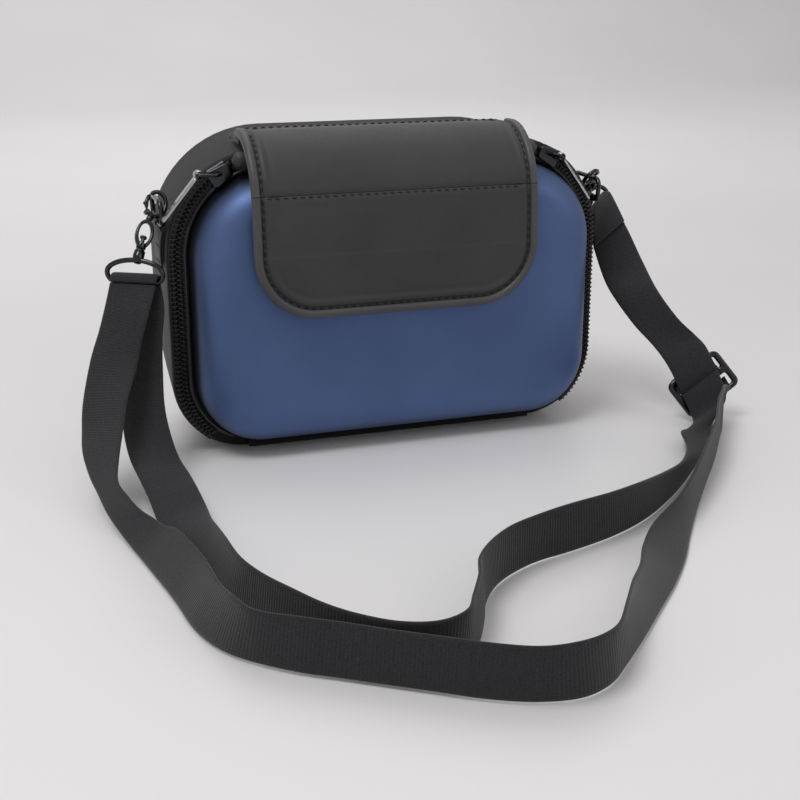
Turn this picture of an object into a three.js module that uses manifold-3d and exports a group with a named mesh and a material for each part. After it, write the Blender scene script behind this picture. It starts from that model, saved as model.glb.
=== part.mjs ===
// Small moulded zip case with a closing flap, two snap hooks and a webbing shoulder strap.
// Millimetres. X to the right, Y to the back, Z up. Shapes are written with y = 0 on the parting plane
// between the lid (front, towards -Y) and the rear shell, and the whole model is then moved back so that
// the origin is under the middle of the case.
import * as THREE from 'three';
import { mergeVertices } from 'three/addons/utils/BufferGeometryUtils.js';
import Module from 'manifold-3d';

const wasm = await Module();
wasm.setup();

// ---------------------------------------------------------------- driving dimensions
const GAP = 0.3;                       // clearance between pieces that touch
const WALL = 2.8;                      // moulded shell thickness

const LID = {
  halfWidth: 89, bottom: 5, top: 121, topRadius: 36, bottomRadius: 28, depth: 23.2, fillet: 14,
  rim: -0.8,                           // front of the parting plane
  draft: 1.2,                          // how far the wall leans in at the fillet
  crown: 0.6,                          // how far the face's middle stands in front of its edge
};
const ZIP = { halfWidth: 93.6, bottom: 0.5, top: 125.4, topRadius: 41, bottomRadius: 32 };
const REAR = { halfWidth: 97.3, top: 129.5, backTop: 133, topRadius: 44, backRadius: 50, depth: 61 };
const ORIGIN_BACK = 20.23;              // how far the case's middle lies behind the parting plane
const FLANGE_FRONT = 0.3;              // front face of the rear shell's flange
const FLANGE_THICK = 2.2;
const FLANGE_WIDTH = 11;
const ZIP_END_ANGLE = 52;              // the zip stops this far round the bottom corners, degrees

const FLAP = { left: -66.5, right: 56, thick: 2.6, corner: 26, bottom: 62.8 };
const BINDING = { width: 3.6, thick: 4.2 };
const WEB = { width: 20, thick: 1.4 };
const RING = { halfWidth: 12, halfHeight: 4.7, corner: 4, wire: 1.05 };
const FOLD = { radius: 2.4, drop: 8.5, thick: 1.3 };   // webbing round the strap ring's lower bar
const D_RING = { halfLength: 12.4, depth: 9.4, corner: 2.6, wire: 1.2, middle: 12.5 };
const BAR_ANGLE = 17;                  // where the D-ring's straight bar sits round the corner
const BAR_RADIUS = REAR.topRadius + 2.9;
const WIRE_TOP = { x: 98.6, z: 108.6 };  // middle of the D-ring's outer wire
const SIDE_TAB = { halfWidth: 7.4, thick: 1.7, start: -6, sleeve: 2.35, bore: 1.5 };
const HOOK = { length: 28, thick: 2.4, bore: 1.15 };
const BOW = { z: -2, rx: 4.9, rz: 6.4, openX: 3.1, openZ: 4.7 };
const LOWER = { x: 1.6, z: -16.2, rx: 3.9, rz: 6.6, openX: 2.3, openZ: 4.6 };
const WAIST = { x0: 0.2, x1: 3.4, z0: -11, z1: -7.2 };
const BOSS = { x0: -0.4, x1: 3.6, z0: -23, z1: -20.6 };
const GATE = { x0: 2.9, x1: 4.9, z0: -5.6, z1: 1.2, halfThick: 1.2 };
const SLIDERS = [
  { name: 'left', side: -1, angle: 121.5, turn: 9.5, pinRadius: 47.3, lean: 230, proud: 0 },
  { name: 'right', side: 1, angle: 63, turn: 5, pinRadius: 43, lean: 306, proud: 2 },
];
const PIN = { front: -8.9, back: -3.1, wire: 0.7 };
const PULL = { length: 24, width: 4.6, thick: 1.1, back: -3.5 };
const BELT_LOOP = { halfWidth: 24, low: 42, high: 98, stand: 9.5, thick: 1.7 };
const STRIP = { halfLength: 66, front: -2.3, back: 0, height: 3.8 };
const ROLL = { x0: -69.5, x1: 63.5, y: -7.1, rise: 4.1, ry: 3.5, rz: 3.6 };
const PATCH = { x0: -30, x1: 20, z0: 70, z1: 90, loopThick: 1.2, hookThick: 1.4 };
const POCKET = { halfWidth: 60, back: 5.6, thick: 1.8, z0: 24, z1: 82 };
const DIVIDER = { halfWidth: 60, y0: 12, y1: 15, z0: 5.4, z1: 96 };

// ---------------------------------------------------------------- materials
const finish = (color, roughness, metalness = 0) =>
  new THREE.MeshStandardMaterial({ color, roughness, metalness });
const blueSatin = finish(0x3f5488, 0.42, 0.25);
const blackFabric = finish(0x1c1c1e, 0.9);
const leatherette = finish(0x3a3a3d, 0.62);
const darkMetal = finish(0x2a2a2d, 0.25, 0.9);
const brightMetal = finish(0x8c8c8c, 0.25, 0.9);
const webbingBlack = finish(0x232326, 0.95);
const liningGrey = finish(0x4a4b4e, 0.95);
const nylon = finish(0x161617, 0.55);

const model = new THREE.Group();
const vec = (x, y, z) => new THREE.Vector3(x, y, z);

function add(name, geometry, material) {
  const mesh = new THREE.Mesh(geometry, material);
  mesh.name = name;
  model.add(mesh);
  return mesh;
}

// ---------------------------------------------------------------- mesh helpers
function signedVolume(points, faces) {
  let volume = 0;
  for (const [a, b, c] of faces) volume += points[a].dot(points[b].clone().cross(points[c])) / 6;
  return volume;
}

function geometryFrom(points, faces) {
  const turned = signedVolume(points, faces) < 0 ? faces.map(([a, b, c]) => [a, c, b]) : faces;
  const geometry = new THREE.BufferGeometry();
  const flat = points.flatMap((p) => [p.x, p.y, p.z]);
  geometry.setAttribute('position', new THREE.Float32BufferAttribute(flat, 3));
  geometry.setIndex(turned.flat());
  geometry.computeVertexNormals();
  return geometry;
}

// Skins a list of loops that all have the same number of points. Open ends are capped with a fan,
// and closed joins the last loop to the first.
function loft(loops, closed = false) {
  const count = loops[0].length;
  const points = loops.flat();
  const faces = [];
  const rows = closed ? loops.length : loops.length - 1;
  for (let r = 0; r < rows; r++) {
    const low = r * count;
    const high = ((r + 1) % loops.length) * count;
    for (let i = 0; i < count; i++) {
      const j = (i + 1) % count;
      faces.push([low + i, low + j, high + j], [low + i, high + j, high + i]);
    }
  }
  if (!closed) {
    for (const [row, flip] of [[0, true], [loops.length - 1, false]]) {
      const centre = new THREE.Vector3();
      loops[row].forEach((p) => centre.addScaledVector(p, 1 / count));
      const hub = points.push(centre) - 1;
      for (let i = 0; i < count; i++) {
        const a = row * count + i;
        const b = row * count + ((i + 1) % count);
        faces.push(flip ? [hub, b, a] : [hub, a, b]);
      }
    }
  }
  return geometryFrom(points, faces);
}

function toManifold(geometry) {
  const bare = geometry.clone();
  bare.deleteAttribute('normal');
  bare.deleteAttribute('uv');
  const merged = mergeVertices(bare, 1e-4);
  return new wasm.Manifold(new wasm.Mesh({
    numProp: 3,
    vertProperties: new Float32Array(merged.attributes.position.array),
    triVerts: new Uint32Array(merged.index.array),
  }));
}

function fromManifold(solid) {
  const mesh = solid.getMesh();
  const geometry = new THREE.BufferGeometry();
  geometry.setAttribute('position', new THREE.Float32BufferAttribute(mesh.vertProperties, 3));
  geometry.setIndex(Array.from(mesh.triVerts));
  geometry.computeVertexNormals();
  return geometry;
}

const cut = (body, ...tools) =>
  fromManifold(tools.reduce((solid, tool) => solid.subtract(toManifold(tool)), toManifold(body)));
const join = (first, ...others) =>
  fromManifold(others.reduce((solid, other) => solid.add(toManifold(other)), toManifold(first)));

function box(x0, x1, y0, y1, z0, z1) {
  const geometry = new THREE.BoxGeometry(x1 - x0, y1 - y0, z1 - z0);
  geometry.translate((x0 + x1) / 2, (y0 + y1) / 2, (z0 + z1) / 2);
  return geometry;
}

// A tube of round section along a curve.
function tube(curve, radius, steps, sides = 8) {
  const section = new THREE.Shape();
  section.absarc(0, 0, radius, 0, Math.PI * 2);
  const outline = new THREE.Shape(section.getSpacedPoints(sides).slice(0, sides));
  return new THREE.ExtrudeGeometry(outline, { steps, bevelEnabled: false, extrudePath: curve });
}

// ---------------------------------------------------------------- outlines in the XZ plane
const ARC_STEPS = 8;

// Points anticlockwise seen from the front, starting at the right end of the top edge.
function roundedOutline(halfWidth, bottom, top, topRadius, bottomRadius, y) {
  const corners = [
    [halfWidth - topRadius, top - topRadius, topRadius, 0],
    [-halfWidth + topRadius, top - topRadius, topRadius, 90],
    [-halfWidth + bottomRadius, bottom + bottomRadius, bottomRadius, 180],
    [halfWidth - bottomRadius, bottom + bottomRadius, bottomRadius, 270],
  ];
  return corners.flatMap(([cx, cz, r, start]) =>
    Array.from({ length: ARC_STEPS + 1 }, (_, i) => {
      const angle = THREE.MathUtils.degToRad(start + (90 * i) / ARC_STEPS);
      return new THREE.Vector3(cx + r * Math.cos(angle), y, cz + r * Math.sin(angle));
    }));
}

const radiusLeft = (radius, inset) => Math.max(radius - inset, 4);

const lidLoop = (inset, y) => roundedOutline(LID.halfWidth - inset, LID.bottom + inset, LID.top - inset,
  radiusLeft(LID.topRadius, inset), radiusLeft(LID.bottomRadius, inset), y);

// t runs from 0 at the rear shell's front rim to 1 at its back.
function rearLoop(t, inset, y) {
  return roundedOutline(
    REAR.halfWidth - t - inset,
    inset,
    THREE.MathUtils.lerp(REAR.top, REAR.backTop, t) - inset,
    radiusLeft(THREE.MathUtils.lerp(REAR.topRadius, REAR.backRadius, t), inset),
    radiusLeft(THREE.MathUtils.lerp(31, 50, t), inset),
    y,
  );
}

// ---------------------------------------------------------------- moulded shells and linings
// Fillet from a side wall to a face: pairs of inset and depth.
function filletPairs(wallInset, faceY, radius, side, steps = 5) {
  return Array.from({ length: steps + 1 }, (_, i) => {
    const angle = (Math.PI / 2) * (i / steps);
    return [wallInset + radius * (1 - Math.cos(angle)), faceY - side * radius * (1 - Math.sin(angle))];
  });
}

const lidFillet = (offset) =>
  filletPairs(LID.draft + offset, LID.crown - LID.depth + offset, LID.fillet - offset, -1);

function lidShell() {
  const outer = [[0, LID.rim], ...lidFillet(0), [40, -LID.depth]];
  const inner = [[38, -LID.depth + WALL], ...lidFillet(WALL).reverse(), [WALL, LID.rim]];
  const loops = [...outer.reverse(), ...inner.reverse()].map(([inset, y]) => lidLoop(inset, y));
  return loft(loops);
}

function lidLining() {
  const out = WALL + GAP;
  const thick = 1.5;
  const rim = LID.rim - 2 * GAP;
  const outer = [[38, -LID.depth + out], ...lidFillet(out).reverse(), [out, rim]];
  const inner = [[out + thick, rim], ...lidFillet(out + thick), [38, -LID.depth + out + thick]];
  return loft([...outer, ...inner].map(([inset, y]) => lidLoop(inset, y)));
}

function rearShell() {
  const depth = REAR.depth;
  const flangeBack = FLANGE_FRONT + FLANGE_THICK;
  const outer = [[1, 45, depth], [1, 9, depth], [1, 5.2, depth - 0.8], [1, 2.6, depth - 2.6],
    [1, 0.8, depth - 5.2], [1, 0, depth - 9], [0.4, 0, depth * 0.42], [0, 0, 3.2], [0, 0.6, 1.2],
    [0, 2, FLANGE_FRONT],
    [0, FLANGE_WIDTH, FLANGE_FRONT]];
  const inner = [[0, FLANGE_WIDTH, flangeBack], [0, WALL + 1, flangeBack], [0.4, WALL, depth * 0.42],
    [1, WALL, depth - 9], [1, WALL + 1.6, depth - WALL - 2.6], [1, 9, depth - WALL], [1, 45, depth - WALL]];
  return loft([...outer, ...inner].map(([t, inset, y]) => rearLoop(t, inset, y)));
}

function rearLining() {
  const out = WALL + GAP;
  const thick = 1.6;
  const depth = REAR.depth - out;
  const front = FLANGE_FRONT + FLANGE_THICK + GAP;
  const outer = [[1, 45, depth], [1, 9.3, depth], [1, out + 1.6, depth - 2.6], [1, out, depth - 6],
    [0.4, out, REAR.depth * 0.42], [0, out + 1, front]];
  const inner = [[0, out + thick + 1, front], [0.4, out + thick, REAR.depth * 0.42],
    [1, out + thick, depth - 6], [1, out + thick + 1.4, depth - thick - 2.4], [1, 10.5, depth - thick],
    [1, 45, depth - thick]];
  return loft([...outer, ...inner].map(([t, inset, y]) => rearLoop(t, inset, y)));
}

// ---------------------------------------------------------------- bands that follow the zip line
// The zip line as a list of points with their outward normals, from the bottom left corner over the
// top to the bottom right corner.
function zipLine(outline, endAngle) {
  const { halfWidth, bottom, top, topRadius, bottomRadius } = outline;
  const arcs = [
    [-halfWidth + bottomRadius, bottom + bottomRadius, bottomRadius, 180 + endAngle, 180],
    [-halfWidth + topRadius, top - topRadius, topRadius, 180, 90],
    [halfWidth - topRadius, top - topRadius, topRadius, 90, 0],
    [halfWidth - bottomRadius, bottom + bottomRadius, bottomRadius, 0, -endAngle],
  ];
  const steps = 7;
  return arcs.flatMap(([cx, cz, r, from, to]) => Array.from({ length: steps + 1 }, (_, i) => {
    const angle = THREE.MathUtils.degToRad(from + ((to - from) * i) / steps);
    const normal = new THREE.Vector2(Math.cos(angle), Math.sin(angle));
    return { x: cx + r * normal.x, z: cz + r * normal.y, normal };
  }));
}

// Sweeps a section, given as pairs of outward offset and y, along such a line.
function band(line, section) {
  return loft(line.map(({ x, z, normal }) =>
    section.map(([out, y]) => new THREE.Vector3(x + normal.x * out, y, z + normal.y * out))));
}

const zipPath = zipLine(ZIP, ZIP_END_ANGLE);
const rectangle = (out0, out1, y0, y1) => [[out0, y0], [out1, y0], [out1, y1], [out0, y1]];
const halfRound = (out0, out1, y0, y1) => {
  const middle = (out0 + out1) / 2;
  return [[out0, y1], [out0, y0 + 0.5], [middle, y0], [out1, y0 + 0.5], [out1, y1]];
};

const TAPE_BACK = 0;
const TAPE_FRONT = -0.5;
const COIL_BACK = TAPE_FRONT - GAP;
const COIL_FRONT = -2.4;

function zipPieces() {
  add('zip_tape_front', band(zipPath, rectangle(-8.5, -0.15, TAPE_FRONT, TAPE_BACK)), blackFabric);
  add('zip_tape_rear', band(zipPath, rectangle(0.15, 2.9, TAPE_FRONT, TAPE_BACK)), blackFabric);
  add('zip_coil_front', band(zipPath, halfRound(-2.3, -0.15, COIL_FRONT, COIL_BACK)), nylon);
  add('zip_coil_rear', band(zipPath, halfRound(0.15, 2.3, COIL_FRONT, COIL_BACK)), nylon);
}

// Round bead sewn round the lid's rim, open under the case where the hinge strip sits.
function pipingBead() {
  const radius = 0.75;
  const path = zipLine({ halfWidth: LID.halfWidth, bottom: LID.bottom, top: LID.top,
    topRadius: LID.topRadius, bottomRadius: LID.bottomRadius }, 66);
  const section = Array.from({ length: 8 }, (_, i) => {
    const angle = (i / 8) * Math.PI * 2;
    return [GAP + radius + radius * Math.cos(angle), -2.3 + radius * Math.sin(angle)];
  });
  return band(path, section);
}

// ---------------------------------------------------------------- closing flap
// Middle line of the flap's section, from its sewn root over the lid's top edge and down the face.
const FLAP_SECTION = [[3, 134.9], [-4, 135], [-10, 133.6], [-16, 130.2], [-21, 125.4], [-24.6, 119.6],
  [-26.6, 113], [-27.6, 105], [-28.1, 95], [-28.3, 80], [-28.4, FLAP.bottom]];
const FLAP_SPLIT = 6;                  // index of the sewn line between the soft top and the stiff panel

// Offsets a section line to both sides and extrudes it between two x values that may vary along it.
function sheetAlong(section, thick, xRange) {
  const points = section.map(([y, z]) => new THREE.Vector2(y, z));
  const normals = points.map((_, i) => {
    const before = points[Math.max(i - 1, 0)];
    const after = points[Math.min(i + 1, points.length - 1)];
    const along = after.clone().sub(before).normalize();
    return new THREE.Vector2(along.y, -along.x);
  });
  return loft(points.map((p, i) => {
    const [x0, x1] = xRange(i, p.y);
    const a = p.clone().addScaledVector(normals[i], thick / 2);
    const b = p.clone().addScaledVector(normals[i], -thick / 2);
    return [new THREE.Vector3(x0, a.x, a.y), new THREE.Vector3(x1, a.x, a.y),
      new THREE.Vector3(x1, b.x, b.y), new THREE.Vector3(x0, b.x, b.y)];
  }));
}

const PANEL_EDGE = BINDING.width + GAP;

// Section of the stiff panel, with close steps down its rounded bottom corners.
function lowerSection() {
  const [straightY] = FLAP_SECTION.at(-1);
  const steps = 9;
  const low = Array.from({ length: steps + 1 }, (_, i) => {
    const angle = (i / steps) * (Math.PI / 2) * 0.98;
    return [straightY, FLAP.bottom + FLAP.corner - (FLAP.corner - PANEL_EDGE) * Math.sin(angle)];
  });
  return [...FLAP_SECTION.slice(FLAP_SPLIT, -2), ...low];
}

function flapTop() {
  const section = FLAP_SECTION.slice(0, FLAP_SPLIT + 1);
  const [endY, endZ] = section[FLAP_SPLIT];
  section[FLAP_SPLIT] = [endY - 0.03, endZ + GAP / 2];
  return sheetAlong(section, FLAP.thick,
    () => [FLAP.left + PANEL_EDGE, FLAP.right - PANEL_EDGE]);
}

function flapPanel() {
  const section = lowerSection();
  section[0] = [section[0][0] + 0.03, section[0][1] - GAP / 2];
  return sheetAlong(section, FLAP.thick, (_, z) => [FLAP.left + panelInset(z), FLAP.right - panelInset(z)]);
}

// Inset of the panel's edge inside the binding at height z, on the arc inside the bound corner.
function panelInset(z) {
  const radius = FLAP.corner - PANEL_EDGE;
  const rise = FLAP.bottom + FLAP.corner - z;
  return rise <= 0 ? PANEL_EDGE : FLAP.corner - Math.sqrt(Math.max(radius * radius - rise * rise, 0));
}

// Middle line of the bound edge down one side, round the bottom and up the other side.
function bindingLine() {
  const half = BINDING.width / 2;
  const radius = FLAP.corner - half;
  const [left, right] = [FLAP.left + half, FLAP.right - half];
  const [y] = FLAP_SECTION.at(-1);
  const side = FLAP_SECTION.slice(FLAP_SPLIT, -2).map(([sy, z], i) => [sy, i === 0 ? z - GAP / 2 : z]);
  const arc = (cx, from, to) => Array.from({ length: 9 }, (_, i) => {
    const angle = THREE.MathUtils.degToRad(from + ((to - from) * i) / 8);
    const out = vec(Math.cos(angle), 0, Math.sin(angle));
    return { at: vec(cx, y, FLAP.bottom + FLAP.corner).addScaledVector(out, radius), out };
  });
  return [
    ...side.map(([sy, z]) => ({ at: vec(left, sy, z), out: vec(-1, 0, 0) })),
    ...arc(left + radius, 180, 270),
    ...arc(right - radius, 270, 360),
    ...side.reverse().map(([sy, z]) => ({ at: vec(right, sy, z), out: vec(1, 0, 0) })),
  ];
}

function bindingLower() {
  return loft(bindingLine().map(({ at, out }) => beadSection(BINDING.width / 2).map(([wide, deep]) =>
    at.clone().addScaledVector(out, wide).add(vec(0, deep, 0)))));
}

const beadSection = (half) => Array.from({ length: 8 }, (_, i) => {
  const angle = (i / 8) * Math.PI * 2 + Math.PI / 8;
  return [half * Math.cos(angle), (BINDING.thick / 2) * Math.sin(angle)];
});

function bindingUpper(x) {
  const half = BINDING.width / 2;
  const points = FLAP_SECTION.slice(0, FLAP_SPLIT + 1).map(([y, z]) => new THREE.Vector2(y, z));
  points[FLAP_SPLIT].y += 0.9;
  return loft(points.map((p, i) => {
    const along = points[Math.min(i + 1, FLAP_SPLIT)].clone().sub(points[Math.max(i - 1, 0)]).normalize();
    return beadSection(half).map(([out, deep]) =>
      new THREE.Vector3(x + out, p.x + deep * -along.y, p.y + deep * along.x));
  }));
}

// ---------------------------------------------------------------- flat webbing
// Each station is the ribbon's lower edge and upper edge. Both edges run as smooth curves through them.
const STEPS_PER_STATION = 3;

function smoothEdges(stations) {
  const [lower, upper] = [0, 1].map((edge) => {
    const points = stations.map((pair) => vec(...pair[edge]));
    return new THREE.CatmullRomCurve3(points, false, 'catmullrom', 0.5);
  });
  const steps = (stations.length - 1) * STEPS_PER_STATION;
  return Array.from({ length: steps + 1 }, (_, i) => [lower.getPoint(i / steps), upper.getPoint(i / steps)]);
}

function ribbon(stations, thick = WEB.thick) {
  const edges = smoothEdges(stations);
  const middles = edges.map(([a, b]) => a.clone().add(b).multiplyScalar(0.5));
  return loft(edges.map(([a, b], i) => {
    const along = middles[Math.min(i + 1, middles.length - 1)].clone().sub(middles[Math.max(i - 1, 0)]);
    const across = b.clone().sub(a);
    const normal = across.clone().cross(along).normalize().multiplyScalar(thick / 2);
    return [a.clone().add(normal), b.clone().add(normal), b.clone().sub(normal), a.clone().sub(normal)];
  }));
}

const STRAP_OUTER = [
  [[-121, -2.5, 77.6], [-103.8, -12.6, 77.4]], [[-123, -4, 71], [-108, -18, 68]],
  [[-127, -8, 60], [-112, -21, 57]], [[-132, -14, 49], [-115, -25, 48]],
  [[-137, -25, 35], [-121, -37, 38]], [[-139, -35, 26], [-125, -50, 29]],
  [[-140, -45, 21], [-128, -61, 23]], [[-139, -56, 16], [-130, -73, 19]],
  [[-137, -66, 12], [-128, -83, 17]], [[-135, -76, 8], [-125, -92, 15]],
  [[-132, -86, 4.5], [-121, -100, 14]], [[-129, -96, 2], [-118, -108, 14]],
  [[-126, -109, 1], [-115, -117, 16]], [[-121, -138, 1], [-111, -143, 17]],
  [[-118, -161, 1], [-110, -165, 18]], [[-113, -176, 1], [-108, -181, 20]],
  [[-106, -186, 1], [-104, -191, 20]], [[-94, -197, 1], [-93, -200, 20.5]],
  [[-82, -205, 1], [-81, -208, 20.5]], [[-70, -213, 1], [-70, -216, 20.5]],
  [[-58, -221, 1], [-58, -224, 20.5]], [[-46, -229, 1], [-46, -232, 20.5]],
  [[-33, -235, 1], [-34, -238, 20.5]], [[-20, -237, 1], [-23, -239, 20.5]],
  [[-9, -233, 1], [-13, -236, 20]], [[0, -225, 1], [-5, -230, 19.5]], [[13, -212, 1], [4, -217, 18.5]],
  [[28, -196, 1], [15, -200, 15.5]], [[43, -180, 1], [27, -183, 12]], [[56, -164, 1], [38, -165, 9.5]],
  [[67, -148, 1], [50, -151, 10.5]], [[82, -127, 1], [70, -136, 14]],
  [[98, -106, 1], [92, -113, 18.5]], [[116, -83, 1], [114, -86, 20.5]],
  [[133, -59.5, 1], [131.5, -60, 20.5]], [[140.5, -49, 1], [140, -49, 20.5]],
];
const STRAP_INNER = [
  [[-118.6, 1.6, 77.4], [-101.4, -8.4, 77.4]], [[-117, -1, 68], [-101, -13, 68]],
  [[-118, -3, 54], [-103, -16, 56]], [[-120, -7, 41], [-104, -19, 42]],
  [[-121, -15, 28], [-105, -26, 31]], [[-122, -26, 20], [-104.5, -35, 22]],
  [[-122, -42, 15.5], [-103, -45, 15]], [[-120.5, -58, 12.5], [-101, -56, 12]],
  [[-119, -71, 9.5], [-100, -66, 10.5]], [[-118, -86, 6], [-99, -80, 8]],
  [[-116, -101, 3.5], [-99, -95, 9]], [[-111, -114, 1.5], [-100, -112, 15]],
  [[-107, -130, 1], [-102, -134, 19]], [[-103, -148, 1], [-101, -153, 20]],
  [[-98, -163, 1], [-97, -167, 20]], [[-92, -178, 1], [-91, -181, 20.5]],
  [[-84, -191, 1], [-84, -194, 20.5]], [[-76, -201, 1], [-76, -204, 20.5]],
  [[-66, -209, 1], [-66, -212, 20.5]], [[-55, -212, 1], [-55, -215, 20.5]],
  [[-45, -208, 1], [-45, -211, 20.5]], [[-37, -199, 1], [-39, -201, 20.5]],
  [[-30, -186, 1], [-32, -188, 20.5]], [[-25, -175, 1], [-28, -178, 20.5]],
  [[-17, -164, 1], [-20, -168, 20.5]], [[-7, -156, 1], [-9, -159, 20.5]],
  [[5, -150, 1], [4, -153, 20.5]], [[20, -146, 1], [18, -148, 20.5]], [[40, -139, 1], [37, -142, 20]],
  [[60, -128, 1], [54, -133, 18.5]], [[82, -110, 1], [72, -119, 15]],
  [[101, -91, 1.5], [89, -103, 11.5]], [[120, -70, 2], [104, -81, 8]], [[129, -57, 4], [111, -64, 8]],
  [[136.5, -50.5, 8], [118.5, -54.5, 4]], [[146.5, -42, 14], [130, -42.5, 3.5]],
  [[146.5, -33.5, 23.4], [130.3, -32.1, 11.8]],
];
const STRAP_LEAD = [
  [[106.1, 24.1, 83.4], [120.3, 35.3, 91.6]], [[107.5, 20, 73], [123.5, 21.5, 84]],
  [[108.1, 9, 60.1], [126, 6, 68.6]], [[109, -1, 52.9], [126.4, -9.4, 57.6]],
  [[114.9, -10, 42], [132.2, -19.1, 46.3]], [[121, -18.5, 33.5], [139.8, -23.2, 38.4]],
  [[124.6, -26, 26], [142.8, -27.5, 34.2]], [[128.6, -31.2, 15.9], [144.8, -32.6, 27.5]],
];

const STRAP_TAIL = [[[106.9, 18.1, 74.2], [122.9, 19.7, 85.2]], [[106.9, 20, 80.5], [122.5, 26.2, 90.5]]];

// ---------------------------------------------------------------- carrying hardware
const CORNER = vec(REAR.halfWidth - REAR.topRadius, 0, REAR.top - REAR.topRadius);

// Places a shape drawn in its own x, y and z along three unit directions at a point.
function place(geometry, at, right, deep, up) {
  geometry.applyMatrix4(new THREE.Matrix4().makeBasis(right, deep, up).setPosition(at));
  return geometry;
}

// Extrudes a 2-D outline of x and z, centred on y = 0.
function plate(shape, thick, segments = 10) {
  const settings = { depth: thick, bevelEnabled: false, curveSegments: segments };
  const geometry = new THREE.ExtrudeGeometry(shape, settings);
  geometry.translate(0, 0, -thick / 2);
  geometry.rotateX(Math.PI / 2);
  return geometry;
}

// Quarter turns of a rounded rectangle: centre, radii and start angle of each.
function rectangleArcs(halfX, halfZ, corner) {
  return [[1, 1], [-1, 1], [-1, -1], [1, -1]].map(([x, z], i) =>
    ({ x: x * (halfX - corner), z: z * (halfZ - corner), rx: corner, rz: corner, start: i * 90 }));
}

// An arch over a straight bar with round corners.
function archArcs({ halfWidth, halfHeight, corner }) {
  const z = corner - halfHeight;
  const arch = { x: 0, z, rx: halfWidth, rz: halfHeight - z };
  const foot = { z, rx: corner, rz: corner };
  return [{ ...arch, start: 0 }, { ...arch, start: 90 }, { ...foot, x: corner - halfWidth, start: 180 },
    { ...foot, x: halfWidth - corner, start: 270 }];
}

// A closed wire ring along quarter turns in its own x and z.
function wireLoop(arcs, wire, sides = 8, steps = 6) {
  const rings = arcs.flatMap(({ x, z, rx, rz, start }) => Array.from({ length: steps }, (_, i) => {
    const angle = THREE.MathUtils.degToRad(start + (i * 90) / (steps - 1));
    const [cos, sin] = [Math.cos(angle), Math.sin(angle)];
    return { middle: vec(x + rx * cos, 0, z + rz * sin), out: vec(cos * rz, 0, sin * rx).normalize() };
  }));
  const distinct = rings.filter(({ middle }, i) => middle.distanceTo(rings.at(i - 1).middle) > 0.01);
  return loft(distinct.map(({ middle, out }) => Array.from({ length: sides }, (_, k) => {
    const turn = (k / sides) * Math.PI * 2;
    return middle.clone().addScaledVector(out, wire * Math.cos(turn)).add(vec(0, wire * Math.sin(turn), 0));
  })), true);
}

function rod(from, to, radius, sides = 12) {
  const along = to.clone().sub(from);
  const geometry = new THREE.CylinderGeometry(radius, radius, along.length(), sides);
  const turn = new THREE.Quaternion().setFromUnitVectors(vec(0, 1, 0), along.clone().normalize());
  geometry.applyQuaternion(turn);
  geometry.translate(...from.clone().add(to).multiplyScalar(0.5).toArray());
  return geometry;
}

// Flat band on the rear shell's rounded top corner, at the given radii and between two angles.
function cornerArc(side, r0, r1, from, to, y0, y1, steps = 6) {
  const at = (radius, angle, y) => vec(side * (CORNER.x + radius * Math.cos(angle)), y,
    CORNER.z + radius * Math.sin(angle));
  return loft(Array.from({ length: steps + 1 }, (_, i) => {
    const angle = THREE.MathUtils.degToRad(from + ((to - from) * i) / steps);
    return [at(r0, angle, y0), at(r1, angle, y0), at(r1, angle, y1), at(r0, angle, y1)];
  }));
}

const barCentre = (side) => {
  const angle = THREE.MathUtils.degToRad(BAR_ANGLE);
  return vec(side * (CORNER.x + BAR_RADIUS * Math.cos(angle)), D_RING.middle,
    CORNER.z + BAR_RADIUS * Math.sin(angle));
};

// Webbing strip on the rear shell's side with a sleeve round the D-ring's bar.
function sideTab(side) {
  const { halfWidth, thick, start } = SIDE_TAB;
  const [y0, y1] = [D_RING.middle - halfWidth, D_RING.middle + halfWidth];
  const bar = barCentre(side);
  const inner = REAR.topRadius + GAP;
  const strip = cornerArc(side, inner, inner + thick, start, BAR_ANGLE - 2, y0, y1);
  const sleeve = rod(vec(bar.x, y0, bar.z), vec(bar.x, y1, bar.z), SIDE_TAB.sleeve, 16);
  const bore = rod(vec(bar.x, y0 - 1, bar.z), vec(bar.x, y1 + 1, bar.z), SIDE_TAB.bore, 16);
  return cut(join(strip, sleeve), bore);
}

function dRing(side) {
  const bar = barCentre(side);
  const up = vec(side * WIRE_TOP.x - bar.x, 0, WIRE_TOP.z - bar.z).normalize();
  const along = vec(0, 1, 0);
  const deep = up.clone().cross(along);
  const middle = bar.clone().addScaledVector(up, D_RING.depth / 2);
  const loop = wireLoop(rectangleArcs(D_RING.halfLength, D_RING.depth / 2, D_RING.corner), D_RING.wire);
  return place(loop, middle, along, deep, up);
}

// One snap hook hangs on each D-ring. The hook's own z runs from the swivel up to the bow.
const HOOK_SIDES = [
  { name: 'left', side: -1, wire: vec(-WIRE_TOP.x, 7.3, WIRE_TOP.z),
    down: vec(-9.8, -14.1, -22.1).normalize(), lift: 0, ringAcross: vec(0.86, -0.5, 0).normalize(),
    ringDown: vec(0, 0, -1), shift: -1.5 },
  { name: 'right', side: 1, wire: vec(WIRE_TOP.x, 9, WIRE_TOP.z),
    down: vec(8.4, 23, -13.6).normalize(), lift: 1.4, ringAcross: vec(0.71, 0.57, 0.415).normalize(),
    ringDown: vec(0.655, -0.315, -0.688), shift: 0 },
];

function hookFrame({ side, down }) {
  const up = down.clone().negate();
  const deep = vec(0, side, 0).addScaledVector(up, -side * up.y).normalize();
  const outward = deep.clone().cross(up);
  return { up, deep, outward };
}

const ellipse = (x, z, rx, rz) => {
  const shape = new THREE.Shape();
  shape.absellipse(x, z, rx, rz, 0, Math.PI * 2);
  return shape;
};

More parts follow.
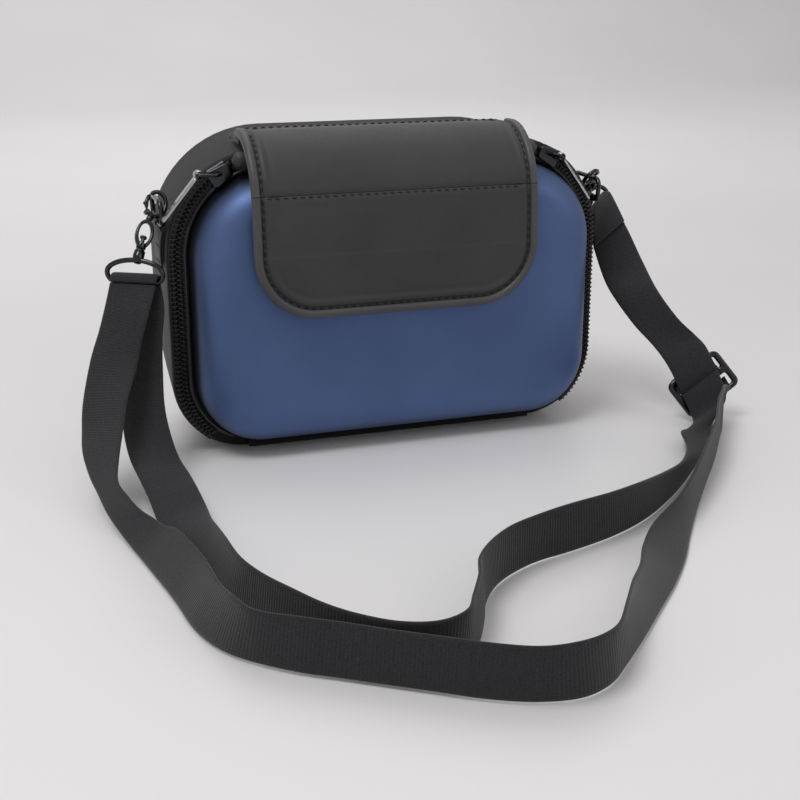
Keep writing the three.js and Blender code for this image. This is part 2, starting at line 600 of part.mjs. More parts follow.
function hookBody() {
  const half = HOOK.thick / 2;
  const bow = plate(ellipse(0, BOW.z, BOW.rx, BOW.rz), HOOK.thick);
  const window = plate(ellipse(0, BOW.z, BOW.openX, BOW.openZ), HOOK.thick + 2);
  const waist = box(WAIST.x0, WAIST.x1, -half, half, WAIST.z0, WAIST.z1);
  const frame = plate(ellipse(LOWER.x, LOWER.z, LOWER.rx, LOWER.rz), HOOK.thick);
  const slot = plate(ellipse(LOWER.x, LOWER.z + 0.2, LOWER.openX, LOWER.openZ), HOOK.thick + 2);
  const boss = box(BOSS.x0, BOSS.x1, -half, half, BOSS.z0, BOSS.z1);
  const bore = rod(vec(LOWER.x, 0, BOSS.z0 - 3), vec(LOWER.x, 0, BOSS.z1 + 1.6), HOOK.bore);
  const gateRoom = box(GATE.x0 - 0.6, 6, -3, 3, GATE.z0 - GAP, GATE.z1 + GAP);
  return cut(join(bow, waist, frame, boss), window, slot, bore, gateRoom);
}

const hookGate = () => box(GATE.x0, GATE.x1, -GATE.halfThick, GATE.halfThick, GATE.z0, GATE.z1);

function swivel() {
  const head = rod(vec(LOWER.x, 0, -18.4), vec(LOWER.x, 0, -17.2), 1.5);
  const post = rod(vec(LOWER.x, 0, -25), vec(LOWER.x, 0, -17.8), 0.8);
  const neck = rod(vec(LOWER.x, 0, -HOOK.length - 0.8), vec(LOWER.x, 0, -23.4), 2.2);
  return join(head, post, neck);
}

function hooks() {
  for (const hook of HOOK_SIDES) {
    const { up, deep, outward } = hookFrame(hook);
    const origin = hook.wire.clone().addScaledVector(up, hook.lift);
    const fit = (geometry) => place(geometry, origin, outward, deep, up);
    add(`side_tab_${hook.name}`, sideTab(hook.side), webbingBlack);
    add(`d_ring_${hook.name}`, dRing(hook.side), darkMetal);
    add(`snap_hook_${hook.name}`, fit(hookBody()), darkMetal);
    add(`hook_gate_${hook.name}`, fit(hookGate()), darkMetal);
    add(`hook_swivel_${hook.name}`, join(fit(swivel()), strapRing(hook)), darkMetal);
    add(`strap_fold_${hook.name}`, strapFold(hook), webbingBlack);
  }
}

const ringTop = ({ wire, down, ...hook }) => {
  const { outward } = hookFrame({ down, ...hook });
  return wire.clone().addScaledVector(down, HOOK.length - hook.lift).addScaledVector(outward, LOWER.x);
};

// A point of the strap ring's middle line at a distance below its top.
const belowRingTop = (hook, drop) => ringTop(hook).addScaledVector(hook.ringAcross, hook.shift)
  .addScaledVector(ringAxes(hook).down, drop);

function ringAxes({ ringAcross, ringDown }) {
  const down = ringDown.clone().addScaledVector(ringAcross, -ringDown.dot(ringAcross)).normalize();
  return { across: ringAcross, down, front: down.clone().cross(ringAcross) };
}

function strapRing(hook) {
  const { across, down, front } = ringAxes(hook);
  const middle = belowRingTop(hook, RING.halfHeight);
  return place(wireLoop(archArcs(RING), RING.wire), middle, across, front.negate(), down.clone().negate());
}

// Webbing folded over the strap ring's lower bar: a half turn from the front strand to the back one.
function strapFold(hook) {
  const { across, down, front } = ringAxes(hook);
  const bar = belowRingTop(hook, FOLD.drop);
  const half = WEB.width / 2;
  const station = (angle) => {
    const at = bar.clone().addScaledVector(front, FOLD.radius * Math.cos(angle))
      .addScaledVector(down, -FOLD.radius * Math.sin(angle));
    return [at.clone().addScaledVector(across, -half), at.clone().addScaledVector(across, half)];
  };
  const turn = Array.from({ length: 9 }, (_, i) => station((i / 8) * Math.PI).map((p) => p.toArray()));
  return ribbon([...(hook.side > 0 ? STRAP_TAIL : []), ...turn], FOLD.thick);
}

// Three-bar buckle where the lead joins the doubled strap.
const GLIDE = {
  at: vec(140.9, -30.9, 17), across: vec(0.81, -0.067, 0.58), along: vec(0.5, -0.43, -0.75),
  halfAcross: 14.3, halfAlong: 9.8, corner: 3, thick: 2.6, slotHalf: 11.4, slotAt: 4.5, slotOpen: 2.8,
};

function triGlide() {
  const across = GLIDE.across.clone().normalize();
  const along = GLIDE.along.clone().addScaledVector(across, -GLIDE.along.dot(across)).normalize();
  const outline = new THREE.Shape();
  const { halfAcross: halfX, halfAlong: halfZ, corner, thick, slotHalf, slotAt, slotOpen } = GLIDE;
  outline.absarc(halfX - corner, halfZ - corner, corner, 0, Math.PI / 2);
  outline.absarc(corner - halfX, halfZ - corner, corner, Math.PI / 2, Math.PI);
  outline.absarc(corner - halfX, corner - halfZ, corner, Math.PI, Math.PI * 1.5);
  outline.absarc(halfX - corner, corner - halfZ, corner, Math.PI * 1.5, Math.PI * 2);
  const slots = [-1, 1].map((way) =>
    box(-slotHalf, slotHalf, -thick, thick, way * slotAt - slotOpen, way * slotAt + slotOpen));
  const deep = across.clone().cross(along);
  return place(cut(plate(outline, thick, 4), ...slots), GLIDE.at, across, deep, along.negate());
}

// ---------------------------------------------------------------- zip sliders and pulls
const zipCorner = (side) => vec(side * (ZIP.halfWidth - ZIP.topRadius), 0, ZIP.top - ZIP.topRadius);

function onZip(side, radius, degrees, y) {
  const angle = THREE.MathUtils.degToRad(degrees);
  return zipCorner(side).add(vec(radius * Math.cos(angle), y, radius * Math.sin(angle)));
}

const pinAngle = ({ side, angle, turn }) => angle - side * turn;

function slider(item) {
  const { side, angle, pinRadius, proud } = item;
  const turn = THREE.MathUtils.degToRad(angle);
  const out = vec(Math.cos(turn), 0, Math.sin(turn));
  const blocks = [[-2.3, 3.9, -3.9, -2.7, 3.6], [-3.6, 3.9, -5.2, -3.8, 5.2], [3.0, 3.9, -4.2, -0.85, 4.2]]
    .map(([r0, r1, y0, y1, half]) => box(r0, r1, y0, y1, -half, half));
  const body = place(join(...blocks), onZip(side, ZIP.topRadius, angle, 0), out, vec(0, 1, 0),
    out.clone().cross(vec(0, 1, 0)));
  const front = PIN.front - proud;
  const bail = [
    onZip(side, ZIP.topRadius + 0.5, angle, -4.6),
    onZip(side, ZIP.topRadius + 1.2, angle, front),
    onZip(side, ZIP.topRadius + 2.6, (angle + pinAngle(item)) / 2, front),
    onZip(side, pinRadius, pinAngle(item), front),
    onZip(side, pinRadius, pinAngle(item), PIN.back - proud),
  ];
  const rods = bail.slice(1).map((to, i) => rod(bail[i], to, PIN.wire, 8));
  return join(body, ...rods, ...bail.slice(1, -1).map(ball));
}

function ball(at) {
  const geometry = new THREE.SphereGeometry(PIN.wire, 8, 6);
  geometry.translate(at.x, at.y, at.z);
  return geometry;
}

// Flat pull tab with a rolled eye round the slider's pin, hanging edge-on beside the rim.
function pullTab(item) {
  const pin = onZip(item.side, item.pinRadius, pinAngle(item), 0);
  const lean = THREE.MathUtils.degToRad(item.lean);
  const down = vec(Math.cos(lean), 0, Math.sin(lean));
  const y1 = PULL.back - item.proud;
  const y0 = y1 - PULL.width;
  const eye = rod(vec(pin.x, y0, pin.z), vec(pin.x, y1, pin.z), 1.9, 14);
  const bore = rod(vec(pin.x, y0 - 1, pin.z), vec(pin.x, y1 + 1, pin.z), 1.1, 14);
  const tab = place(box(-PULL.thick / 2, PULL.thick / 2, y0, y1, -PULL.length, -1.2),
    vec(pin.x, 0, pin.z), vec(-down.z, 0, down.x), vec(0, 1, 0), down.clone().negate());
  return cut(join(eye, tab), bore);
}

// ---------------------------------------------------------------- small sewn pieces
// Padded roll sewn along the lid's top edge under the flap.
function paddedRoll() {
  const sides = 12;
  const section = (x) => Array.from({ length: sides }, (_, i) => {
    const turn = (i / sides) * Math.PI * 2;
    return vec(x, ROLL.y + ROLL.ry * Math.cos(turn), LID.top + ROLL.rise + ROLL.rz * Math.sin(turn));
  });
  return loft([section(ROLL.x0), section(ROLL.x1)]);
}

// Strip that carries the flap on top of the rear shell, thinner towards the back.
function flapRoot() {
  const inset = BINDING.width / 2;
  const profile = [[3.7, 130.4], [3.7, 135.9], [12, 135.9], [20, 134.2], [24, 132.6], [24, 131.5]];
  return loft([FLAP.left + inset, FLAP.right - inset].map((x) => profile.map(([y, z]) => vec(x, y, z))));
}

// Elastic pocket on the lid's lining and a padded board across the rear half.
const meshPocket = () => box(-POCKET.halfWidth, POCKET.halfWidth, POCKET.back - LID.depth,
  POCKET.back + POCKET.thick - LID.depth, POCKET.z0, POCKET.z1);
const divider = () => box(-DIVIDER.halfWidth, DIVIDER.halfWidth, DIVIDER.y0, DIVIDER.y1,
  DIVIDER.z0, DIVIDER.z1);
const hingeStrip = () => box(-STRIP.halfLength, STRIP.halfLength, STRIP.front, STRIP.back, 0, STRIP.height);
const patch = (front, thick) => box(PATCH.x0, PATCH.x1, front - thick, front, PATCH.z0, PATCH.z1);

// Broad webbing loop on the back for a belt.
function beltLoop() {
  const { halfWidth, low, high, stand, thick } = BELT_LOOP;
  const back = REAR.depth + GAP;
  const profile = [[back, low], [back, high], [back + thick, high], [back + stand, high - 9],
    [back + stand, low + 9], [back + thick, low]];
  const hole = [[back + thick, high - 9], [back + stand - thick, high - 13], [back + stand - thick, low + 13],
    [back + thick, low + 9]];
  const across = (points, half) => loft([-half, half].map((x) => points.map(([y, z]) => vec(x, y, z))));
  return cut(across(profile, halfWidth), across(hole, halfWidth + 2));
}

// ---------------------------------------------------------------- build: shells
add('rear_shell', rearShell(), leatherette);
add('rear_lining', rearLining(), liningGrey);
add('front_shell', lidShell(), blueSatin);
add('front_lining', lidLining(), liningGrey);
add('front_piping', pipingBead(), blackFabric);
zipPieces();
add('hinge_strip', hingeStrip(), blackFabric);

// ---------------------------------------------------------------- build: flap
add('flap_top', flapTop(), leatherette);
add('flap_panel', flapPanel(), leatherette);
add('flap_binding_lower', bindingLower(), leatherette);
add('flap_binding_left', bindingUpper(FLAP.left + BINDING.width / 2), leatherette);
add('flap_binding_right', bindingUpper(FLAP.right - BINDING.width / 2), leatherette);

// ---------------------------------------------------------------- build: strap
add('strap_outer', ribbon(STRAP_OUTER), webbingBlack);
add('strap_inner', ribbon(STRAP_INNER), webbingBlack);
add('strap_lead', ribbon(STRAP_LEAD), webbingBlack);

// ---------------------------------------------------------------- build: hardware and small pieces
hooks();
add('tri_glide', triGlide(), darkMetal);
for (const item of SLIDERS) {
  add(`slider_${item.name}`, slider(item), darkMetal);
  add(`pull_tab_${item.name}`, pullTab(item), brightMetal);
}
add('padded_roll', paddedRoll(), leatherette);
add('flap_root', flapRoot(), leatherette);
add('loop_patch', patch(-LID.depth - GAP, PATCH.loopThick), blackFabric);
add('hook_patch', patch(-LID.depth - 2 * GAP - PATCH.loopThick, PATCH.hookThick), blackFabric);
add('mesh_pocket', meshPocket(), blackFabric);
add('divider', divider(), liningGrey);
add('belt_loop', beltLoop(), webbingBlack);

model.position.y = -ORIGIN_BACK;

export default model;
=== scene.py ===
"""Looks of a small moulded zip case: blue front shell, black rear shell, closing flap and shoulder strap.

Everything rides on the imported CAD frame. Shapes are written in millimetres on the case's own lines, with
y = 0 on the parting plane between the two shells, and to_frame() moves them into the row frame in metres.
"""

import math
import random

import bmesh
import bpy
import numpy as np
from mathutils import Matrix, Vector


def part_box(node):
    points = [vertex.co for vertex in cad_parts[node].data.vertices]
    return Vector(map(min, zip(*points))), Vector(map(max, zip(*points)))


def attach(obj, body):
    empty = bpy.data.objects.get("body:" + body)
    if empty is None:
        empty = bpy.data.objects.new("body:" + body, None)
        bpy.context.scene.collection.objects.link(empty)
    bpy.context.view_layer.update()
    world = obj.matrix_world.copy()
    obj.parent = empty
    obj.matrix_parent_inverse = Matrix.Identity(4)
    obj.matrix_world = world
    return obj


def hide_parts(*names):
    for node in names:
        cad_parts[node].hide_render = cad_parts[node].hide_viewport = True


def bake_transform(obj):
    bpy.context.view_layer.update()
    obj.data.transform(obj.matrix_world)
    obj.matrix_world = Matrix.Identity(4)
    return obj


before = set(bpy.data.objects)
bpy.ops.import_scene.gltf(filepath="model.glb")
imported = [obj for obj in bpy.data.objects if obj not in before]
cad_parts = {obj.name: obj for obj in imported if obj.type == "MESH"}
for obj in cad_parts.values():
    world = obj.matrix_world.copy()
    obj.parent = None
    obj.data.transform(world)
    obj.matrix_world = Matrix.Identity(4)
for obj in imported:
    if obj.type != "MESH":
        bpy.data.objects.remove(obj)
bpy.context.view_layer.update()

# ---------------------------------------------------------------- sizes, in millimetres
MM = 0.001
LID_RIM_Y = -0.8  # the lid's rim stands this far in front of the parting plane
ORIGIN_BACK = LID_RIM_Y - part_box("front_shell")[1].y / MM


def cad_mm(node):
    """The box of a CAD node in millimetres on the case's own lines."""
    low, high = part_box(node)
    shift = np.array((0, ORIGIN_BACK, 0))
    return np.array(low) / MM + shift, np.array(high) / MM + shift


LID_LOW, LID_HIGH = cad_mm("front_shell")
REAR_HIGH = cad_mm("rear_shell")[1]
LID = {"half": LID_HIGH[0], "bottom": LID_LOW[2], "top": LID_HIGH[2], "top_r": 36, "bottom_r": 28}
LID_DEPTH = -LID_LOW[1]
LID_FILLET = 14
REAR_HALF = REAR_HIGH[0]
REAR_TOP_FRONT = 129.5
REAR_TOP_BACK = REAR_HIGH[2]
REAR_DEPTH = REAR_HIGH[1]
REAR_TOP_R = 44
REAR_BOTTOM_R = 31
REAR_BACK_R = 50  # the corners of its outline open out to this at the back
LEAST_R = 4
FLANGE = 0.3  # front face of the rear shell's flange
WALL = 2.8
GAP = 0.3
ZIP = {"half": 93.6, "bottom": 0.5, "top": 125.4, "top_r": 41, "bottom_r": 32}
ZIP_END = 52  # degrees round the bottom corners where the zip stops
PIPING_END = 66
PIPING_RADIUS = 0.78
TAPE_THICK = 0.55
TOOTH_PITCH = 2.0
TOOTH_WIRE = 0.48

FLAP_LEFT, FLAP_RIGHT = -66.5, 56.0
FLAP_BOTTOM = 62.8
FLAP_CORNER = 26.0
FLAP_THICK = 2.6
FLAP_SEAM_Z = 113.0  # the sewn line between the soft top and the stiff panel
FLAP_TOP_LINE = [
    (3, 134.9), (-4, 135), (-10, 133.6), (-16, 130.2), (-21, 125.4), (-24.6, 119.6), (-26.6, 113),
]
FLAP_LOW_LINE = [(-26.6, 113), (-27.6, 105), (-28.1, 95), (-28.3, 80), (-28.4, FLAP_BOTTOM)]
BINDING_WIDE = 3.6
BINDING_THICK = 4.2
STITCH_PITCH = 3.4

WEB_WIDE = 20.0
WEB_THICK = 1.3
RIB_PITCH = 1.25
RIB_HEIGHT = 0.11

CORNER = np.array((REAR_HALF - REAR_TOP_R, 0, REAR_TOP_FRONT - REAR_TOP_R))  # centre of the rear top corner
BAR_ANGLE = math.radians(17)
BAR_RADIUS = REAR_TOP_R + 2.9
RING_Y = 12.5
WIRE_TOP = (98.6, 108.6)
TAB_HALF = 7.4
TAB_OUT = REAR_TOP_R + 1.3
D_RING = {"half": 12.4, "depth": 9.4, "wire": 1.05}


# ---------------------------------------------------------------- mesh helpers
def to_frame(points):
    return (np.asarray(points, float) - (0, ORIGIN_BACK, 0)) * MM


def unit(v):
    v = np.asarray(v, float)
    return v / np.linalg.norm(v, axis=-1, keepdims=True)


def run_along(path):
    """The distance from a path's start to each of its points."""
    return np.concatenate([[0], np.cumsum(np.linalg.norm(np.diff(path, axis=0), axis=1))])


def full_turn(count):
    return np.linspace(0, 2 * math.pi, count, endpoint=False)


def upright(angle):
    """The unit direction at an angle from +x towards +z."""
    return np.array((math.cos(angle), 0, math.sin(angle)))


def add_object(name, data):
    obj = bpy.data.objects.new(name, data)
    bpy.context.scene.collection.objects.link(obj)
    return obj


def new_object(name, mesh, material, smooth_angle=40):
    mesh.materials.append(material)
    mesh.polygons.foreach_set("use_smooth", [True] * len(mesh.polygons))
    mesh.set_sharp_from_angle(angle=math.radians(smooth_angle))
    return add_object(name, mesh)


def tidy_mesh(mesh, weld=True):
    """Welds what meets and turns every face outwards."""
    work = bmesh.new()
    work.from_mesh(mesh)
    if weld:
        bmesh.ops.remove_doubles(work, verts=work.verts, dist=1e-7)
    bmesh.ops.recalc_face_normals(work, faces=work.faces)
    work.to_mesh(mesh)
    work.free()


def make_piece(name, shapes, material, body=None, smooth_angle=40):
    """One object from one or more (points, faces) shapes in millimetres. It rides on body if one is named."""
    points, faces = [], []
    for shape_points, shape_faces in shapes:
        start = len(points)
        points += [tuple(p) for p in shape_points]
        faces += [tuple(start + i for i in face) for face in shape_faces]
    mesh = bpy.data.meshes.new(name)
    mesh.from_pydata(to_frame(points).tolist(), [], faces)
    tidy_mesh(mesh)
    obj = new_object(name, mesh, material, smooth_angle)
    if body:
        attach(obj, body)
    return obj


def loft(loops, closed=False, capped=True):
    """Skins loops that all have the same number of points."""
    loops = np.asarray(loops, float)
    rows, count = loops.shape[:2]
    points = loops.reshape(-1, 3).tolist()
    faces = []
    for r in range(rows if closed else rows - 1):
        low, high = r * count, (r + 1) % rows * count
        for i in range(count):
            j = (i + 1) % count
            faces.append((low + i, low + j, high + j, high + i))
    if capped and not closed:
        for row in (0, rows - 1):
            points.append(loops[row].mean(0).tolist())
            hub = len(points) - 1
            faces += [(hub, row * count + i, row * count + (i + 1) % count) for i in range(count)]
    return points, faces


def smooth_curve(points, steps):
    """Catmull-Rom curve through points, with that many steps between two of them."""
    p = np.asarray(points, float)
    p = np.vstack([2 * p[0] - p[1], p, 2 * p[-1] - p[-2]])
    out = []
    for i in range(1, len(p) - 2):
        a, b, c, d = p[i - 1 : i + 3]
        for k in range(steps):
            t = k / steps
            out.append(0.5 * (2 * b + (c - a) * t + (2 * a - 5 * b + 4 * c - d) * t**2
                              + (3 * b - a - 3 * c + d) * t**3))
    out.append(p[-2])
    return np.array(out)


def even_curve(points, spacing, closed=False):
    """A polyline cut again into equal steps of about that spacing."""
    p = np.asarray(points, float)
    if closed:
        p = np.vstack([p, p[:1]])
    run = run_along(p)
    count = max(int(round(run[-1] / spacing)), 2)
    at = np.linspace(0, run[-1], count + 1)[: count if closed else count + 1]
    return np.stack([np.interp(at, run, p[:, k]) for k in range(p.shape[1])], axis=1)


def frames_along(path, side, closed=False):
    """Two unit directions across a path at each point: one nearest to side, and one square to it."""
    if closed:
        along = np.roll(path, -1, axis=0) - np.roll(path, 1, axis=0)
    else:
        along = np.gradient(path, axis=0)
    along = unit(along)
    side = np.broadcast_to(np.asarray(side, float), path.shape)
    first = unit(side - (side * along).sum(1, keepdims=True) * along)
    return first, np.cross(along, first)


def skin_round(path, side, radii, sides, flat=1.0, closed=False):
    """Skins an oval section along a path. flat is its size square to side, as a share of its radius."""
    first, second = frames_along(path, side, closed)
    turn = full_turn(sides)
    ring = np.cos(turn)[None, :, None] * first[:, None] + flat * np.sin(turn)[None, :, None] * second[:, None]
    return loft(path[:, None] + radii[:, None, None] * ring, closed=closed)


def tube(path, radius, side=(0, 1, 0), sides=10, closed=False, flat=1.0):
    """A rounded bar along a path."""
    path = np.asarray(path, float)
    radii = np.full(len(path), float(radius))
    if not closed:
        run = run_along(path)
        to_end = np.minimum(run, run[-1] - run)
        radii *= np.sqrt(np.clip(1 - (1 - np.clip(to_end / radius, 0.12, 1)) ** 2, 0, 1))
    return skin_round(path, side, radii, sides, flat, closed)


def rod(start, end, radius, sides=16):
    """A straight bar with softened ends."""
    start, end = np.asarray(start, float), np.asarray(end, float)
    along = end - start
    side = (0, 1, 0) if abs(along[1]) < 0.9 * np.linalg.norm(along) else (1, 0, 0)
    edge = 0.25 * radius / np.linalg.norm(along)
    stops = np.array([0, edge, 1 - edge, 1])
    return skin_round(start + stops[:, None] * along, side, radius * np.array([0.8, 1, 1, 0.8]), sides)


def moved(shape, at, right, deep, up):
    """Places a shape drawn in its own x, y and z along three unit directions at a point."""
    points, faces = shape
    axes = np.array([right, deep, up], float)
    return (np.asarray(points, float) @ axes + np.asarray(at, float)), faces


def bevelled_plate(outlines, thick, bevel, steps=3):
    """A flat plate with rounded edges from closed 2-D outlines: the first is its rim and the rest are holes.
    Its own x and z are the outline's, and its thickness lies along y."""
    curve = bpy.data.curves.new("outline", "CURVE")
    curve.dimensions = "2D"
    curve.fill_mode = "BOTH"
    curve.extrude = thick / 2 - bevel
    curve.bevel_depth = bevel
    curve.bevel_resolution = steps
    curve.offset = -bevel
    for outline in outlines:
        spline = curve.splines.new("POLY")
        spline.points.add(len(outline) - 1)
        spline.points.foreach_set("co", [c for x, z in outline for c in (x, z, 0, 1)])
        spline.use_cyclic_u = True
    obj = add_object("outline", curve)
    bpy.context.view_layer.update()
    mesh = bpy.data.meshes.new_from_object(obj.evaluated_get(bpy.context.evaluated_depsgraph_get()))
    points = [(v.co.x, -v.co.z, v.co.y) for v in mesh.vertices]
    faces = [tuple(p.vertices) for p in mesh.polygons]
    bpy.data.objects.remove(obj)
    bpy.data.curves.remove(curve)
    bpy.data.meshes.remove(mesh)
    return points, faces


def ellipse(cx, cz, rx, rz, count=32):
    turn = full_turn(count)
    return [(cx + rx * math.cos(t), cz + rz * math.sin(t)) for t in turn]


def rounded_rectangle(half_x, half_z, corner, cx=0.0, cz=0.0, steps=6):
    out = []
    for sx, sz, start in ((1, 1, 0), (-1, 1, 90), (-1, -1, 180), (1, -1, 270)):
        for i in range(steps + 1):
            t = math.radians(start + 90 * i / steps)
            out.append((cx + sx * (half_x - corner) + corner * math.cos(t),
                        cz + sz * (half_z - corner) + corner * math.sin(t)))
    return out


# ---------------------------------------------------------------- materials
def principled(name, color, roughness, metallic=0.0, specular=0.5, sheen=0.0):
    material = bpy.data.materials.new(name)
    material.use_nodes = True
    settings = {
        "Base Color": (*color, 1), "Roughness": roughness, "Metallic": metallic,
        "Specular IOR Level": specular, "Sheen Weight": sheen, "Sheen Roughness": 0.45,
    }
    for key, value in settings.items():
        node_kit(material)[2][key].default_value = value
    return material


def node_kit(material):
    """A material's nodes, its links and the inputs of its shader."""
    tree = material.node_tree
    return tree.nodes, tree.links, tree.nodes["Principled BSDF"].inputs


def texture(material, kind, scale, coordinates="Object", **settings):
    """A procedural texture: features per metre in object space, or per millimetre on the webbing's map."""
    nodes, links, _ = node_kit(material)
    place = nodes.new("ShaderNodeTexCoord")
    node = nodes.new(kind)
    node.inputs["Scale"].default_value = scale
    for key, value in settings.items():
        if key in node.inputs:
            node.inputs[key].default_value = value
        else:
            setattr(node, key, value)
    links.new(place.outputs[coordinates], node.inputs["Vector"])
    return node


def shade_by(material, output, dark, light, low=0.3, high=0.7):
    """Runs the base colour from dark to light with a texture's value."""
    nodes, links, shader = node_kit(material)
    ramp = nodes.new("ShaderNodeValToRGB")
    ramp.color_ramp.elements[0].position = low
    ramp.color_ramp.elements[1].position = high
    ramp.color_ramp.elements[0].color = (*dark, 1)
    ramp.color_ramp.elements[1].color = (*light, 1)
    links.new(output, ramp.inputs["Fac"])
    links.new(ramp.outputs["Color"], shader["Base Color"])


def rough_by(material, output, low, high):
    nodes, links, shader = node_kit(material)
    span = nodes.new("ShaderNodeMapRange")
    span.inputs["To Min"].default_value = low
    span.inputs["To Max"].default_value = high
    links.new(output, span.inputs["Value"])
    links.new(span.outputs["Result"], shader["Roughness"])


def bump(material, output, depth, strength=1.0):
    """Adds relief of that depth in metres on top of any relief that the material has."""
    nodes, links, shader = node_kit(material)
    relief = nodes.new("ShaderNodeBump")
    relief.inputs["Strength"].default_value = strength
    relief.inputs["Distance"].default_value = depth
    links.new(output, relief.inputs["Height"])
    target = shader["Normal"]
    if target.is_linked:
        links.new(target.links[0].from_socket, relief.inputs["Normal"])
    links.new(relief.outputs["Normal"], target)


def shade_painted_to_rim(material, colour, rim_shade_colour, rim_y, face_y):
    """Painted shade: blends a colour along the object's depth, darkening it from where its wall turns into
    its face to its rim.
    """
    nodes, links, shader = node_kit(material)
    place = nodes.new("ShaderNodeTexCoord")
    split = nodes.new("ShaderNodeSeparateXYZ")
    span = nodes.new("ShaderNodeMapRange")
    span.interpolation_type = "SMOOTHSTEP"
    span.inputs["From Min"].default_value = rim_y
    span.inputs["From Max"].default_value = face_y
    mix = nodes.new("ShaderNodeMix")
    mix.data_type = "RGBA"
    mix.inputs["A"].default_value = (*rim_shade_colour, 1)
    links.new(place.outputs["Object"], split.inputs["Vector"])
    links.new(split.outputs["Y"], span.inputs["Value"])
    links.new(span.outputs["Result"], mix.inputs["Factor"])
    links.new(colour, mix.inputs["B"])
    links.new(mix.outputs["Result"], shader["Base Color"])


def blue_skin():
    m = principled("blue_skin", (0.09, 0.15, 0.33), 0.4, metallic=0.6, specular=0.35)
    clouds = texture(m, "ShaderNodeTexNoise", 28, Detail=3)
    shade_by(m, clouds.outputs["Fac"], (0.080, 0.125, 0.27), (0.093, 0.144, 0.305))
    painted = node_kit(m)[2]["Base Color"].links[0].from_socket
    # The near-black rim colour is painted shade: the lid's walls are darkened towards the rim, where shade
    # falls beside the piping.
    rim, face = to_frame([(0, -5.5, 0), (0, -21.5, 0)])[:, 1]
    shade_painted_to_rim(m, painted, (0.012, 0.015, 0.024), float(rim), float(face))
    speck = texture(m, "ShaderNodeTexNoise", 900, Detail=2)
    rough_by(m, speck.outputs["Fac"], 0.42, 0.54)
    grain = texture(m, "ShaderNodeTexVoronoi", 1500)
    bump(m, grain.outputs["Distance"], 0.00003, 0.5)
    bump(m, clouds.outputs["Fac"], 0.0004, 0.25)
    return m


def leather_skin(name, color, roughness, grain_scale=900, depth=0.00007, specular=0.45):
    m = principled(name, color, roughness, specular=specular, sheen=0.06)
    patches = texture(m, "ShaderNodeTexNoise", 35, Detail=4)
    shade_by(m, patches.outputs["Fac"], [c * 0.86 for c in color], [c * 1.16 for c in color])
    speck = texture(m, "ShaderNodeTexNoise", 700, Detail=2)
    rough_by(m, speck.outputs["Fac"], roughness - 0.07, roughness + 0.09)
    cells = texture(m, "ShaderNodeTexVoronoi", grain_scale, feature="DISTANCE_TO_EDGE")
    bump(m, cells.outputs["Distance"], depth, 0.6)
    wrinkles = texture(m, "ShaderNodeTexNoise", 110, Detail=5, Roughness=0.6)
    bump(m, wrinkles.outputs["Fac"], 0.00025, 0.3)
    return m


def webbing_cloth():
    """Ribs run across the strap. The map is in millimetres: u across the strap and v along it."""
    m = principled("webbing_cloth", (0.022, 0.021, 0.024), 0.82, specular=0.25, sheen=0.25)
    ribs = texture(m, "ShaderNodeTexWave", 1 / RIB_PITCH / 3.183, "UV", bands_direction="Y", Distortion=0.5)
    ribs.inputs["Detail"].default_value = 1
    yarns = texture(m, "ShaderNodeTexWave", 0.42, "UV", bands_direction="X", Distortion=0.8)
    fuzz = texture(m, "ShaderNodeTexNoise", 1800, Detail=3)
    shade_by(m, fuzz.outputs["Fac"], (0.011, 0.0103, 0.0122), (0.029, 0.0277, 0.0315), 0.3, 0.75)
    bump(m, yarns.outputs["Fac"], 0.00008, 0.5)
    bump(m, ribs.outputs["Fac"], 0.00006, 0.4)
    bump(m, fuzz.outputs["Fac"], 0.0001, 0.5)
    return m


def tape_cloth():
    m = principled("tape_cloth", (0.02, 0.02, 0.022), 0.85, specular=0.25, sheen=0.2)
    weave = texture(m, "ShaderNodeTexChecker", 1300)
    fuzz = texture(m, "ShaderNodeTexNoise", 1600, Detail=3)
    shade_by(m, fuzz.outputs["Fac"], (0.008, 0.008, 0.009), (0.02, 0.02, 0.022))
    bump(m, weave.outputs["Fac"], 0.00006, 0.4)
    bump(m, fuzz.outputs["Fac"], 0.00008, 0.5)
    return m


def lining_cloth():
    m = principled("lining_cloth", (0.07, 0.07, 0.078), 0.95, specular=0.15, sheen=0.5)
    pile = texture(m, "ShaderNodeTexNoise", 1400, Detail=4, Roughness=0.7)
    shade_by(m, pile.outputs["Fac"], (0.045, 0.045, 0.05), (0.11, 0.11, 0.12))
    bump(m, pile.outputs["Fac"], 0.0002, 0.7)
    return m


def coil_nylon():
    m = principled("coil_nylon", (0.012, 0.012, 0.013), 0.38, specular=0.5)
    speck = texture(m, "ShaderNodeTexNoise", 1200, Detail=2)
    rough_by(m, speck.outputs["Fac"], 0.3, 0.48)
    shade_by(m, speck.outputs["Fac"], (0.009, 0.009, 0.01), (0.018, 0.018, 0.02))
    return m


def plated_metal(name, color, roughness):
    m = principled(name, color, roughness, metallic=1.0)
    speck = texture(m, "ShaderNodeTexNoise", 500, Detail=4)
    rough_by(m, speck.outputs["Fac"], max(roughness - 0.06, 0.03), roughness + 0.1)
    shade_by(m, speck.outputs["Fac"], [c * 0.85 for c in color], [c * 1.12 for c in color])
    dents = texture(m, "ShaderNodeTexNoise", 260, Detail=2)
    bump(m, dents.outputs["Fac"], 0.00006, 0.25)
    return m


def thread():
    m = principled("thread", (0.01, 0.01, 0.01), 0.7, specular=0.3, sheen=0.2)
    twist = texture(m, "ShaderNodeTexWave", 900, bands_direction="DIAGONAL")
    bump(m, twist.outputs["Fac"], 0.00008, 0.6)
    shade_by(m, twist.outputs["Fac"], (0.006, 0.006, 0.006), (0.016, 0.016, 0.017))
    return m


